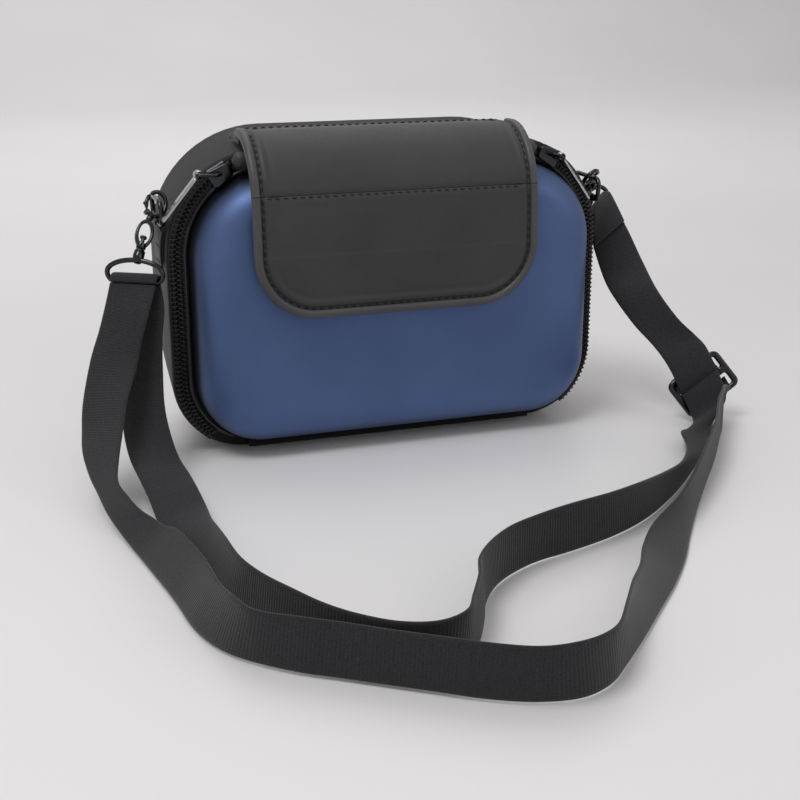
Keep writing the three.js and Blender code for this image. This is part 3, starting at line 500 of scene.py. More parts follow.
def pile_tape(name, scale):
    m = principled(name, (0.02, 0.02, 0.021), 0.95, specular=0.15, sheen=0.6)
    hooks = texture(m, "ShaderNodeTexVoronoi", scale)
    shade_by(m, hooks.outputs["Distance"], (0.04, 0.04, 0.042), (0.01, 0.01, 0.011), 0.1, 0.8)
    bump(m, hooks.outputs["Distance"], 0.0004, 0.9)
    return m


def net_cloth():
    m = principled("net_cloth", (0.02, 0.02, 0.02), 0.8, specular=0.25, sheen=0.2)
    holes = texture(m, "ShaderNodeTexVoronoi", 480)
    shade_by(m, holes.outputs["Distance"], (0.003, 0.003, 0.003), (0.03, 0.03, 0.032), 0.25, 0.5)
    bump(m, holes.outputs["Distance"], 0.0004, 0.8)
    return m


BLUE = blue_skin()
LEATHER = leather_skin("black_leather", (0.033, 0.032, 0.0345), 0.56)
REAR_LEATHER = leather_skin("rear_leather", (0.012, 0.0117, 0.012), 0.56, specular=0.18)
EDGE_LEATHER = leather_skin("edge_leather", (0.058, 0.0565, 0.060), 0.46, 1100, 0.00005)
PIPING_SKIN = leather_skin("piping_skin", (0.016, 0.016, 0.018), 0.34, 1200, 0.00003)
WEBBING = webbing_cloth()
TAPE = tape_cloth()
LINING = lining_cloth()
COIL = coil_nylon()
GUNMETAL = plated_metal("gunmetal", (0.05, 0.052, 0.055), 0.16)
BRIGHT = plated_metal("bright_metal", (0.52, 0.52, 0.52), 0.22)
THREAD = thread()
LOOP_PILE = pile_tape("loop_pile", 1500)
HOOK_PILE = pile_tape("hook_pile", 900)
NET = net_cloth()


# ---------------------------------------------------------------- floor, light and camera
def studio():
    """A pale floor that sweeps up into a wall."""
    depth, rise, bend = 2.4, 2.6, 0.9
    profile = [(-2.2, 0.0), (depth - bend, 0.0)]
    for t in np.linspace(0, math.pi / 2, 16)[1:]:
        profile.append((depth - bend + bend * math.sin(t), bend - bend * math.cos(t)))
    profile.append((depth, rise))
    rows = [[(x, y, z) for y, z in profile] for x in (-3.0, 3.0)]
    count = len(profile)
    faces = [(i, i + 1, count + i + 1, count + i) for i in range(count - 1)]
    mesh = bpy.data.meshes.new("sweep")
    mesh.from_pydata([p for row in rows for p in row], [], faces)
    mesh.polygons.foreach_set("use_smooth", [True] * len(mesh.polygons))
    paper = principled("pale_paper", (0.80, 0.79, 0.785), 0.32, specular=0.28)
    mottling = texture(paper, "ShaderNodeTexNoise", 3, Detail=2)
    shade_by(paper, mottling.outputs["Fac"], (0.715, 0.705, 0.715), (0.745, 0.735, 0.742))
    mesh.materials.append(paper)
    add_object("sweep", mesh)


def area_light(name, place, target, size, energy, color=(1, 1, 1)):
    light = bpy.data.lights.new(name, "AREA")
    light.shape = "SQUARE"
    light.size = size
    light.energy = energy
    light.color = color
    obj = add_object(name, light)
    obj.location = place
    obj.rotation_euler = (Vector(target) - Vector(place)).to_track_quat("-Z", "Y").to_euler()


def light_the_scene():
    area_light("key", (-0.5, -0.35, 1.2), (0, 0, 0.05), 0.5, 7)
    area_light("fill", (1.1, -1.3, 1.0), (0, -0.05, 0.05), 1.0, 3.5)
    area_light("top", (0.1, 0.8, 1.6), (0, 0.1, 0), 1.2, 6)
    area_light("wall", (0.2, 0.7, 1.3), (0.2, 2.3, 0.7), 1.0, 9)
    world = bpy.data.worlds.new("room")
    world.use_nodes = True
    world.node_tree.nodes["Background"].inputs["Color"].default_value = (1.0, 0.985, 0.975, 1)
    world.node_tree.nodes["Background"].inputs["Strength"].default_value = 0.5
    bpy.context.scene.world = world
    bpy.context.scene.view_settings.view_transform = "Standard"


CAMERA_PLACE = Vector((-0.1723, -0.55133, 0.1986))
CAMERA_TURN = math.radians(-18.36)  # to the left of straight ahead
CAMERA_DIP = math.radians(18.28)
CAMERA_LENS = 58.69


def camera():
    data = bpy.data.cameras.new("camera")
    data.lens = CAMERA_LENS
    data.sensor_width = 36
    data.clip_start = 0.01
    obj = add_object("camera", data)
    obj.location = CAMERA_PLACE
    obj.rotation_euler = (math.pi / 2 - CAMERA_DIP, 0, CAMERA_TURN)
    bpy.context.scene.camera = obj


camera()
studio()
light_the_scene()


# ---------------------------------------------------------------- webbing
SECTION_U = [-1, -0.985, -0.93, -0.8, -0.5, 0, 0.5, 0.8, 0.93, 0.985, 1]


def web_section():
    """Half width share, half thickness share and share of the ribs' height round a strip of webbing."""
    top = [(u, math.sqrt(1 - abs(u) ** 26), 1 - abs(u) ** 8) for u in SECTION_U]
    return top + [(u, -t, r) for u, t, r in reversed(top[1:-1])]


def web_strip(stations, thick=WEB_THICK, rib=RIB_HEIGHT, smooth_steps=14, spacing=RIB_PITCH / 4):
    """A ribbed webbing strip through stations of its lower and upper edge. Returns points, faces and map."""
    stations = np.asarray(stations, float)
    lower, upper = (smooth_curve(stations[:, k], smooth_steps) for k in (0, 1))
    middle = (lower + upper) / 2
    run = run_along(middle)
    rows = max(int(run[-1] / spacing), 8)
    at = np.linspace(0, run[-1], rows + 1)
    lower, upper = (np.stack([np.interp(at, run, e[:, k]) for k in range(3)], axis=1) for e in (lower, upper))
    middle, across = (lower + upper) / 2, upper - lower
    along = np.gradient(middle, axis=0)
    normal = unit(np.cross(across, along))
    soft = np.array([0.25, 0.5, 0.25])
    for _ in range(4):
        padded_rows = np.vstack([normal[:1], normal, normal[-1:]])
        normal = unit(sum(soft[k] * padded_rows[k : k + len(normal)] for k in range(3)))
    ribs = np.abs(np.sin(math.pi * at / RIB_PITCH))
    loops, chart = [], []
    for u, t, r in web_section():
        lift = t * thick / 2 + math.copysign(1, t) * rib * r * ribs
        loops.append(middle + across * (u / 2) + normal * lift[:, None])
        chart.append(np.stack([np.full(len(at), u * WEB_WIDE / 2), at], axis=1))
    points, faces = loft(np.stack(loops, axis=1))
    chart = np.stack(chart, axis=1).reshape(-1, 2)
    ends = np.array([[0, 0], [0, run[-1]]])
    return points, faces, np.vstack([chart, ends]), run[-1]


def web_piece(name, stations, **settings):
    points, faces, chart, length = web_strip(stations, **settings)
    mesh = bpy.data.meshes.new(name)
    mesh.from_pydata(to_frame(points).tolist(), [], faces)
    layer = mesh.uv_layers.new(name="weave")
    corner = np.empty(len(mesh.loops), np.int32)
    mesh.loops.foreach_get("vertex_index", corner)
    layer.data.foreach_set("uv", chart[corner].astype(np.float32).ravel())
    tidy_mesh(mesh, weld=False)
    obj = new_object(name, mesh, WEBBING, 60)
    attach(obj, "case")
    return obj, length


# The strap's lie: each station is its lower edge and its upper edge.
STRAP_OUTER = [
    [[-121, -2.5, 77.6], [-103.8, -12.6, 77.4]], [[-123, -4, 71], [-108, -18, 68]],
    [[-127, -8, 60], [-112, -21, 57]], [[-132, -14, 49], [-115, -25, 48]],
    [[-137, -25, 35], [-121, -37, 38]], [[-139, -35, 26], [-125, -50, 29]],
    [[-140, -45, 21], [-128, -61, 23]], [[-139, -56, 16], [-130, -73, 19]],
    [[-137, -66, 12], [-128, -83, 17]], [[-135, -76, 8], [-125, -92, 15]],
    [[-132, -86, 4.5], [-121, -100, 14]], [[-129, -96, 2], [-118, -108, 14]],
    [[-126, -109, 1], [-115, -117, 16]], [[-121, -138, 1], [-111, -143, 17]],
    [[-118, -161, 1], [-110, -165, 18]], [[-113, -176, 1], [-108, -181, 20]],
    [[-106, -186, 1], [-104, -191, 20]], [[-94, -197, 1], [-93, -200, 20.5]],
    [[-82, -205, 1], [-81, -208, 20.5]], [[-70, -213, 1], [-70, -216, 20.5]],
    [[-58, -221, 1], [-58, -224, 20.5]], [[-46, -229, 1], [-46, -232, 20.5]],
    [[-33, -235, 1], [-34, -238, 20.5]], [[-20, -237, 1], [-23, -239, 20.5]],
    [[-9, -233, 1], [-13, -236, 20]], [[0, -225, 1], [-5, -230, 19.5]], [[13, -212, 1], [4, -217, 18.5]],
    [[28, -196, 1], [15, -200, 15.5]], [[43, -180, 1], [27, -183, 12]], [[56, -164, 1], [38, -165, 9.5]],
    [[67, -148, 1], [50, -151, 10.5]], [[82, -127, 1], [70, -136, 14]],
    [[98, -106, 1], [92, -113, 18.5]], [[116, -83, 1], [114, -86, 20.5]],
    [[133, -59.5, 1], [131.5, -60, 20.5]], [[140.5, -49, 1], [140, -49, 20.5]],
]
STRAP_INNER = [
    [[-118.6, 1.6, 77.4], [-101.4, -8.4, 77.4]], [[-117, -1, 68], [-101, -13, 68]],
    [[-118, -3, 54], [-103, -16, 56]], [[-120, -7, 41], [-104, -19, 42]],
    [[-121, -15, 28], [-105, -26, 31]], [[-122, -26, 20], [-104.5, -35, 22]],
    [[-122, -42, 15.5], [-103, -45, 15]], [[-120.5, -58, 12.5], [-101, -56, 12]],
    [[-119, -71, 9.5], [-100, -66, 10.5]], [[-118, -86, 6], [-99, -80, 8]],
    [[-116, -101, 3.5], [-100, -97, 10]], [[-111.5, -115, 1.5], [-101, -114.5, 14.5]],
    [[-107, -130, 1], [-102, -134, 19]], [[-103, -148, 1], [-101, -153, 20]],
    [[-98, -163, 1], [-97, -167, 20]], [[-92, -178, 1], [-91, -181, 20.5]],
    [[-84, -191, 1], [-84, -194, 20.5]], [[-76, -201, 1], [-76, -204, 20.5]],
    [[-66, -209, 1], [-66, -212, 20.5]], [[-55, -212, 1], [-55, -215, 20.5]],
    [[-45, -208, 1], [-45, -211, 20.5]], [[-37, -199, 1], [-39, -201, 20.5]],
    [[-30, -186, 1], [-32, -188, 20.5]], [[-25, -175, 1], [-28, -178, 20.5]],
    [[-17, -164, 1], [-20, -168, 20.5]], [[-7, -156, 1], [-9, -159, 20.5]],
    [[5, -150, 1], [4, -153, 20.5]], [[20, -146, 1], [18, -148, 20.5]], [[40, -139, 1], [37, -142, 20]],
    [[60, -128, 1], [54, -133, 18.5]], [[82, -110, 1], [72, -119, 15]],
    [[101, -91, 1.5], [89, -103, 11.5]], [[120, -70, 2], [104, -81, 8]], [[129, -57, 4], [111, -64, 8]],
    [[136.5, -50.5, 8], [118.5, -54.5, 4]], [[146.5, -42, 14], [130, -42.5, 3.5]],
    [[146.5, -33.5, 23.4], [130.3, -32.1, 11.8]],
]
STRAP_LEAD = [
    [[106.1, 24.1, 83.4], [120.3, 35.3, 91.6]], [[107.5, 20, 73], [123.5, 21.5, 84]],
    [[108.1, 9, 60.1], [126, 6, 68.6]], [[109, -1, 52.9], [126.4, -9.4, 57.6]],
    [[114.9, -10, 42], [132.2, -19.1, 46.3]], [[121, -18.5, 33.5], [139.8, -23.2, 38.4]],
    [[124.6, -26, 26], [142.8, -27.5, 34.2]], [[128.6, -31.2, 15.9], [144.8, -32.6, 27.5]],
]
# What the buckle hides: each strand goes on through its slots.
OUTER_TUCK = [
    [[144, -41.5, 1.2], [145.5, -41.5, 19.5]], [[144, -35.5, 2.2], [151.5, -36.5, 17]],
    [[139.5, -31.5, 4.6], [153, -33, 17]], [[136.6, -28.6, 7.8], [152.6, -29.9, 19.4]],
]
INNER_TUCK = [[[144.9, -30.4, 24.6], [128.7, -29, 13]], [[142.8, -27.2, 25.2], [126.6, -25.8, 13.6]]]
LEAD_TUCK = [[[131, -30.6, 13.6], [147.3, -31.9, 25.2]], [[132, -28, 11.8], [148.3, -29.3, 23.4]],
             [[131, -25.6, 13.4], [147.3, -26.9, 25]], [[128, -24.4, 17.6], [144.3, -25.7, 29.2]]]
TAIL = [[[106.9, 18.1, 74.2], [122.9, 19.7, 85.2]], [[106.9, 20, 80.5], [122.5, 26.2, 90.5]]]


# ---------------------------------------------------------------- hooks and rings: where they hang
RING = {"half_wide": 12.0, "half_high": 4.7, "corner": 4.0, "wire": 1.05}
HOOK_LENGTH = 28.0
FOLD_RADIUS = 2.4
FOLD_DROP = 8.5  # the fold's middle below the ring's top
BOW = {"z": -2.0, "wide": 3.95, "high": 5.5, "wire": 0.95}
LOWER_X, LOWER_Z = 1.6, -16.2  # the middle of the hook's lower eye
SIDES = {
    "left": {
        "side": -1, "wire": (-WIRE_TOP[0], 7.3, WIRE_TOP[1]), "lift": 0.0, "shift": -1.5,
        "down": unit((-9.8, -14.1, -22.1)), "ring_across": unit((0.86, -0.5, 0)), "ring_down": (0, 0, -1),
    },
    "right": {
        "side": 1, "wire": (WIRE_TOP[0], 9.0, WIRE_TOP[1]), "lift": 1.4, "shift": 0.0,
        "down": unit((8.4, 23, -13.6)), "ring_across": unit((0.71, 0.57, 0.415)),
        "ring_down": (0.655, -0.315, -0.688),
    },
}


def hook_axes(hook):
    up = -hook["down"]
    deep = unit(np.array((0, hook["side"], 0)) - hook["side"] * up[1] * up)
    return np.cross(deep, up), deep, up


def hook_origin(hook):
    return np.array(hook["wire"]) + hook["lift"] * hook_axes(hook)[2]


def ring_axes(hook):
    across = hook["ring_across"]
    down = np.array(hook["ring_down"], float)
    down = unit(down - (down @ across) * across)
    return across, down, np.cross(down, across)


def ring_top(hook):
    outward = hook_axes(hook)[0]
    top = np.array(hook["wire"]) + hook["down"] * (HOOK_LENGTH - hook["lift"]) + outward * LOWER_X
    return top + ring_axes(hook)[0] * hook["shift"]


def ring_middle(hook):
    return ring_top(hook) + ring_axes(hook)[1] * RING["half_high"]


def fold_stations(hook):
    """The half turn of webbing over the ring's lower bar, from the front strand to the back one."""
    across, down, front = ring_axes(hook)
    bar = ring_top(hook) + down * FOLD_DROP
    turn = []
    for angle in np.linspace(0, math.pi, 9):
        at = bar + front * FOLD_RADIUS * math.cos(angle) - down * FOLD_RADIUS * math.sin(angle)
        turn.append([at - across * WEB_WIDE / 2, at + across * WEB_WIDE / 2])
    return turn


# ---------------------------------------------------------------- the strap's three cords and its buckle
GLIDE_AT = np.array((140.9, -30.9, 17.0))
GLIDE_ACROSS = unit((0.81, -0.067, 0.58))
GLIDE_ALONG = np.array((0.5, -0.43, -0.75))
GLIDE_ALONG = unit(GLIDE_ALONG - (GLIDE_ALONG @ GLIDE_ACROSS) * GLIDE_ACROSS)
GLIDE = {"rim": (14.3, 9.8, 3.4), "slot": (11.4, 2.8, 1.0), "slot_at": 4.5, "thick": 2.6, "grip": 0.42}


def tri_glide():
    """Three-bar buckle in the gunmetal finish, with rounded bars and a ribbed middle one."""
    across, along = GLIDE_ACROSS, GLIDE_ALONG
    rim = rounded_rectangle(*GLIDE["rim"])
    slots = [rounded_rectangle(*GLIDE["slot"], 0, way * GLIDE["slot_at"]) for way in (-1, 1)]
    plate = bevelled_plate([rim, *slots], GLIDE["thick"], 1.0)
    grips = [rod((x, -1.25, -1.3), (x, -1.25, 1.3), GLIDE["grip"], 8) for x in np.linspace(-9.5, 9.5, 11)]
    shapes = [moved(s, GLIDE_AT, across, np.cross(across, along), -along) for s in (plate, *grips)]
    piece = make_piece("buckle", shapes, GUNMETAL, "case")
    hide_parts("tri_glide")
    return piece


def strap():
    buckle = tri_glide()
    right_fold = fold_stations(SIDES["right"])
    strands = [("outer", STRAP_OUTER + OUTER_TUCK, "object"), ("inner", STRAP_INNER + INNER_TUCK, "object"),
               ("lead", TAIL + right_fold + STRAP_LEAD + LEAD_TUCK, "fitting")]
    for name, stations, far_end in strands:
        piece, length = web_piece(f"strap_{name}_webbing", stations)
        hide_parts(f"strap_{name}")
    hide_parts("strap_fold_right")
    fold = web_piece("fold_left_webbing", fold_stations(SIDES["left"]))[0]
    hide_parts("strap_fold_left")


def frayed_threads():
    """Loose yarns at the cut end of the strap."""
    draw = random.Random(7)
    low, high = np.array(TAIL[0][0], float), np.array(TAIL[0][1], float)
    shapes = []
    for k in range(16):
        share = 0.02 + 0.96 * k / 15
        root = low + (high - low) * share + (0, 0.3 * draw.uniform(-1, 1), 0)
        fall = np.array((0.2 * draw.uniform(-1, 1) - 0.1, -0.35 * draw.random(), -1.0))
        length = draw.uniform(0.5, 1.5) if k else 4.2
        curl = np.array((draw.uniform(-0.5, 0.5), draw.uniform(-0.4, 0.2), 0))
        path = [root + fall * length * t + curl * length * t * t for t in np.linspace(0, 1, 6)]
        shapes.append(tube(path, 0.11, side=(0, 1, 0.1), sides=5))
    return make_piece("frayed_threads", shapes, THREAD, "case")


strap()
frayed_threads()


# ---------------------------------------------------------------- moulded shells and linings
ARC_STEPS = 16
RUN_STEPS = 10
LID_CROWN = [(54, 0), (46, 0), (38, 0.03), (28, 0.16), (21, 0.36)]  # inset from the outline, and depth lost
LID_DRAFT = 1.2
LINING_THICK = {"lid": 1.5, "rear": 1.6}
LINING_SHORT = 0.4  # how much further forward the lid's lining ends
REAR_CORNER = 9
FLANGE_THICK, FLANGE_WIDE = 2.2, 11


def rounded_outline(half, bottom, top, top_r, bottom_r, y):
    """A rounded rectangle at depth y, anticlockwise, with points along its straight runs too."""
    high, low = top - top_r, bottom + bottom_r
    corners = [(half - top_r, high, top_r, 0), (-half + top_r, high, top_r, 90),
               (-half + bottom_r, low, bottom_r, 180), (half - bottom_r, low, bottom_r, 270)]
    points = []
    for cx, cz, r, start in corners:
        arc = [math.radians(start + 90 * i / ARC_STEPS) for i in range(ARC_STEPS + 1)]
        arc = [np.array((cx + r * math.cos(t), y, cz + r * math.sin(t))) for t in arc]
        if points:
            points += [points[-1] + (arc[0] - points[-1]) * k / RUN_STEPS for k in range(1, RUN_STEPS)]
        points += arc
    gap = points[0] - points[-1]
    return np.array(points + [points[-1] + gap * k / RUN_STEPS for k in range(1, RUN_STEPS)])


def lid_loop(inset, y):
    return rounded_outline(LID["half"] - inset, LID["bottom"] + inset, LID["top"] - inset,
                           max(LID["top_r"] - inset, LEAST_R), max(LID["bottom_r"] - inset, LEAST_R), y)


def rear_loop(t, inset, y):
    """t runs from 0 at the rear shell's front rim to 1 at its back."""

    def between(a, b):
        return a + (b - a) * t

    top = between(REAR_TOP_FRONT, REAR_TOP_BACK) - inset
    top_r = max(between(REAR_TOP_R, REAR_BACK_R) - inset, LEAST_R)
    bottom_r = max(between(REAR_BOTTOM_R, REAR_BACK_R) - inset, LEAST_R)
    return rounded_outline(REAR_HALF - t - inset, inset, top, top_r, bottom_r, y)


def quarter(inset, depth, radius, side, steps=12):
    """Pairs of inset and depth round the fillet from a wall to a face."""
    turn = np.linspace(0, math.pi / 2, steps + 1)
    return [(inset + radius * (1 - math.cos(t)), depth - side * radius * (1 - math.sin(t))) for t in turn]


def lid_profile(offset):
    """The lid's section from the middle of its face to its rim, moved inwards by offset."""
    crown = [(inset, drop - LID_DEPTH) for inset, drop in LID_CROWN]
    fillet = quarter(LID_DRAFT + offset, 0.6 - LID_DEPTH + offset, LID_FILLET - offset, -1)[::-1]
    wall = [(0.9 + offset, -5.5), (0.45 + offset, -3), (offset, LID_RIM_Y - 0.2)]
    return [(inset, y + offset) for inset, y in crown] + fillet + wall


def lid_shell():
    outer = lid_profile(0) + [(0.25, LID_RIM_Y)]
    inner = [(WALL - 0.25, LID_RIM_Y)] + lid_profile(WALL)[::-1]
    shape = loft([lid_loop(inset, y) for inset, y in outer + inner])
    piece = make_piece("blue_front_shell", [shape], BLUE, "lid")
    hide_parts("front_shell")


def lid_lining():
    out = WALL + GAP
    outer = lid_profile(out)
    outer[-1] = (outer[-1][0], outer[-1][1] - LINING_SHORT)
    inner = lid_profile(out + LINING_THICK["lid"])[::-1]
    shape = loft([lid_loop(inset, y) for inset, y in outer + inner])
    piece = make_piece("lid_lining_cloth", [shape], LINING, "lid")
    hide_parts("front_lining")


def widening(y):
    return float(np.interp(y, [3.2, REAR_DEPTH * 0.42, REAR_DEPTH - REAR_CORNER], [0, 0.4, 1]))


def rear_profile(offset, front):
    """The rear shell's section from the middle of its back to near its front rim."""
    depth = REAR_DEPTH - offset
    back = [(1, inset, depth) for inset in (58, 45, 30, 18)]
    corner = [(1, inset, y) for inset, y in quarter(offset, depth, REAR_CORNER - offset, 1)[::-1]]
    wall = [(widening(y), offset, y) for y in np.linspace(depth - 10, front, 10)]
    return back + corner + wall


def rear_shell():
    rim = [(0, 2 - 2 * math.sin(t), FLANGE + 2 - 2 * math.cos(t)) for t in np.linspace(math.pi / 2, 0, 7)[1:]]
    flange = [(0, FLANGE_WIDE, FLANGE), (0, FLANGE_WIDE + 0.3, FLANGE + FLANGE_THICK / 2),
              (0, FLANGE_WIDE, FLANGE + FLANGE_THICK)]
    outer = rear_profile(0, 3.2) + rim + flange
    inner = rear_profile(WALL, FLANGE + FLANGE_THICK + 0.3)[::-1]
    shape = loft([rear_loop(*row) for row in outer + inner])
    piece = make_piece("black_rear_shell", [shape], REAR_LEATHER, "case")
    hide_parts("rear_shell")


def rear_lining():
    out, front = WALL + GAP, FLANGE + FLANGE_THICK + 2 * GAP
    rows = rear_profile(out, front) + rear_profile(out + LINING_THICK["rear"], front)[::-1]
    shape = loft([rear_loop(*row) for row in rows])
    piece = make_piece("rear_lining_cloth", [shape], LINING, "case")
    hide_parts("rear_lining")


# ---------------------------------------------------------------- bands round the zip line
def zip_line(half, bottom, top, top_r, bottom_r, end, spacing=1.5):
    """Points and outward normals from the bottom left corner over the top to the bottom right corner."""
    high, low = top - top_r, bottom + bottom_r
    arcs = [(-half + bottom_r, low, bottom_r, 180 + end, 180), (-half + top_r, high, top_r, 180, 90),
            (half - top_r, high, top_r, 90, 0), (half - bottom_r, low, bottom_r, 0, -end)]
    points = []
    for cx, cz, r, start, stop in arcs:
        for t in np.radians(np.linspace(start, stop, 25)):
            points.append(r * upright(t) + (cx, 0, cz))
    path = even_curve(points, spacing)
    along = np.gradient(path, axis=0)
    normal = np.stack([-along[:, 2], np.zeros(len(path)), along[:, 0]], axis=1)
    return path, unit(normal)


def band(line, section):
    """Sweeps pairs of outward offset and y along a line."""
    path, normal = line
    return loft([[p + n * out + (0, y, 0) for out, y in section] for p, n in zip(path, normal)])


def tape_section(out0, out1, y0, y1, steps=6):
    """A thin woven strip whose face is slightly crowned."""
    span = np.linspace(0, 1, steps + 1)
    front = [(out0 + (out1 - out0) * s, y0 + 0.18 * (2 * s - 1) ** 2) for s in span]
    return front + [(out1, y1), (out0, y1)]


def zip_tapes(line):
    for name, out0, out1, body in (("front", -8.4, -0.2, "lid"), ("rear", 0.2, 2.9, "case")):
        strip = band(line, tape_section(out0, out1, -TAPE_THICK, 0))
        piece = make_piece(f"zip_tape_{name}_cloth", [strip], TAPE, body)
        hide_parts(f"zip_tape_{name}")


# One tooth's bent wire: distance from the zip line, y, and shift along the zip.
TOOTH_BEND = [
    (2.5, -0.75, -0.35), (2.45, -1.5, -0.3), (1.8, -1.95, -0.15), (0.9, -2.0, 0.05), (0.1, -1.75, 0.15),
    (-0.22, -1.3, 0.2),
]


def zip_teeth(line):
    """The coil: one bent tooth after another, the two rows half a pitch apart."""
    path, normal = line
    run = run_along(path)
    for name, way, start, body in (("front", -1, 1.0, "lid"), ("rear", 1, 2.0, "case")):
        shapes = []
        for at in np.arange(start, run[-1] - 1, TOOTH_PITCH):
            middle = np.array([np.interp(at, run, path[:, k]) for k in range(3)])
            out = unit([np.interp(at, run, normal[:, k]) for k in range(3)])
            along = np.array((out[2], 0, -out[0]))
            tooth = [middle + out * way * o + along * s + (0, y, 0) for o, y, s in TOOTH_BEND]
            shapes.append(tube(tooth, TOOTH_WIRE, side=along, sides=6))
        core = band(line, [(way * 1.1, -0.62), (way * 1.9, -0.62), (way * 1.9, -1.15), (way * 1.1, -1.15)])
        piece = make_piece(f"zip_coil_{name}_teeth", shapes + [core], COIL, body)
        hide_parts(f"zip_coil_{name}")


def piping():
    """A thin cord wrapped in the skin, with its sewn lip beside it."""
    line = zip_line(**LID, end=PIPING_END)
    radius = PIPING_RADIUS
    bead = band(line, ellipse(GAP + radius, -2.3, radius, radius, 14))
    lip = band(line, [(0.1, -1.5), (1.9, -1.35), (2.6, -0.8), (2.6, -0.62), (0.1, -0.7)])
    piece = make_piece("piping_cord", [bead, lip], PIPING_SKIN, "lid")
    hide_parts("front_piping")


def hinge_strip():
    """The fabric strip that joins the two shells under the case, with a folded front edge."""
    low, high = cad_mm("hinge_strip")
    rows = []
    for x in np.linspace(low[0], high[0], 90):
        wave = 0.12 * math.sin(x * 0.31) + 0.08 * math.sin(x * 0.83)
        end = min(1, (high[0] - abs(x)) / 4 + 0.55)
        y0, y1, z1 = low[1] + 0.15 + wave, high[1], low[2] + (high[2] - low[2]) * end
        section = [(y1, 0.1), (y0 + 0.5, 0.02), (y0, 0.5), (y0 - 0.05 + wave, 1.4), (y0 + 0.15, z1 - 0.6),
                   (y0 + 0.5, z1), (y1, z1)]
        rows.append([(x, y, z) for y, z in section])
    piece = make_piece("hinge_strip_cloth", [loft(rows)], TAPE, "case", 60)
    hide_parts("hinge_strip")


# ---------------------------------------------------------------- closing flap
FLAP_MIDDLE = (FLAP_LEFT + FLAP_RIGHT) / 2
FLAP_HALF = (FLAP_RIGHT - FLAP_LEFT) / 2
BINDING_X = (FLAP_LEFT + BINDING_WIDE / 2, FLAP_RIGHT - BINDING_WIDE / 2)


def offset_line(line, amounts):
    """Moves a section line of (y, z) outwards, square to itself."""
    line = np.asarray(line, float)
    along = unit(np.gradient(line, axis=0))
    return line + np.stack([along[:, 1], -along[:, 0]], axis=1) * np.asarray(amounts, float)[:, None]


def edge_relief(d):
    """Height of the padded face at distance d inside the binding: a sewn groove, a ridge, then the face."""
    groove = -0.75 * math.exp(-((d - 0.5) / 0.75) ** 2)
    ridge = 0.30 * math.exp(-((d - 2.7) / 0.9) ** 2)
    dip = -0.14 * math.exp(-((d - 4.9) / 0.9) ** 2)
    return groove + ridge + dip + 0.25 * (1 - math.exp(-d / 16))


def seam_relief(distance):
    """Height of the face at a distance from the sewn line across the flap."""
    return -0.42 * math.exp(-(distance / 0.75) ** 2) + 0.1 * math.exp(-((abs(distance) - 2.6) / 1.3) ** 2)


def corner_inset(z, radius, bottom):
    rise = bottom + radius - z
    return 0.0 if rise <= 0 else radius - math.sqrt(max(radius**2 - rise**2, 0))


def panel(rows, half_at, depth_at, columns=110):
    """A padded sheet: rows is its middle line, half_at its half width and depth_at the relief of its face."""
    rows = np.asarray(rows, float)
    front, back = [], []
    spread = np.sin(np.linspace(-math.pi / 2, math.pi / 2, columns + 1) * 0.94) / math.sin(math.pi / 2 * 0.94)
    line_out = offset_line(rows, np.ones(len(rows))) - rows
    for (y, z), out in zip(rows, line_out):
        xs = FLAP_MIDDLE + spread * half_at(z)
        lift = np.array([FLAP_THICK / 2 + depth_at(x, z) for x in xs])
        front.append(np.stack([xs, y + out[0] * lift, z + out[1] * lift], axis=1))
        under_y, under_z = y - out[0] * FLAP_THICK / 2, z - out[1] * FLAP_THICK / 2
        back.append([(x, under_y, under_z) for x in xs])
    front, back = np.array(front), np.array(back)[:, ::-1]
    return loft(np.concatenate([front, back], axis=1))


def flap_rows(line, spacing):
    return even_curve(smooth_curve(line, 8), spacing)


def bend_from_root(piece):
    """Bakes the piece's placement into its mesh."""
    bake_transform(piece)


def flap_upper():
    inside = FLAP_HALF - BINDING_WIDE - GAP / 2
    rows = flap_rows(FLAP_TOP_LINE, 0.7)
    rows[-1, 1] += 0.02  # stops just short of the stiff panel

    def relief(x, z):
        near = min(x - (FLAP_MIDDLE - inside), FLAP_MIDDLE + inside - x)
        return edge_relief(near) + (seam_relief(z - FLAP_SEAM_Z) if z < 124 else 0)

    piece = make_piece("flap_top_skin", [panel(rows, lambda z: inside, relief)], LEATHER)
    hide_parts("flap_top")
    bend_from_root(piece)


def flap_lower():
    bottom = FLAP_BOTTOM + BINDING_WIDE + GAP / 2
    inside = FLAP_HALF - BINDING_WIDE - GAP / 2
    radius = FLAP_CORNER - BINDING_WIDE - GAP / 2
    straight = [p for p in flap_rows(FLAP_LOW_LINE, 0.7) if p[1] > bottom + radius]
    turn = np.linspace(0, 0.985, 34) * math.pi / 2
    low = [(FLAP_LOW_LINE[-1][0] + 0.03, bottom + radius * (1 - math.sin(t))) for t in turn]
    rows = np.array(straight + low)

    def half_at(z):
        return inside - corner_inset(z, radius, bottom)

    def relief(x, z):
        dx, dz = abs(x - FLAP_MIDDLE) - (inside - radius), bottom + radius - z
        near = radius - math.hypot(max(dx, 0), max(dz, 0)) - min(max(dx, dz), 0)
        return edge_relief(max(near, 0)) + (seam_relief(z - FLAP_SEAM_Z) if z > 104 else 0)

    skin = panel(rows, half_at, relief)
    piece = make_piece("flap_panel_skin", [skin], LEATHER, "flap_lower")
    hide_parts("flap_panel")


def upper_binding_paths():
    """The middle of the soft top's bound edge on its left side and on its right side."""
    rows = flap_rows(FLAP_TOP_LINE, 1.2)
    return [np.array([(x, y, z) for y, z in rows]) for x in BINDING_X]


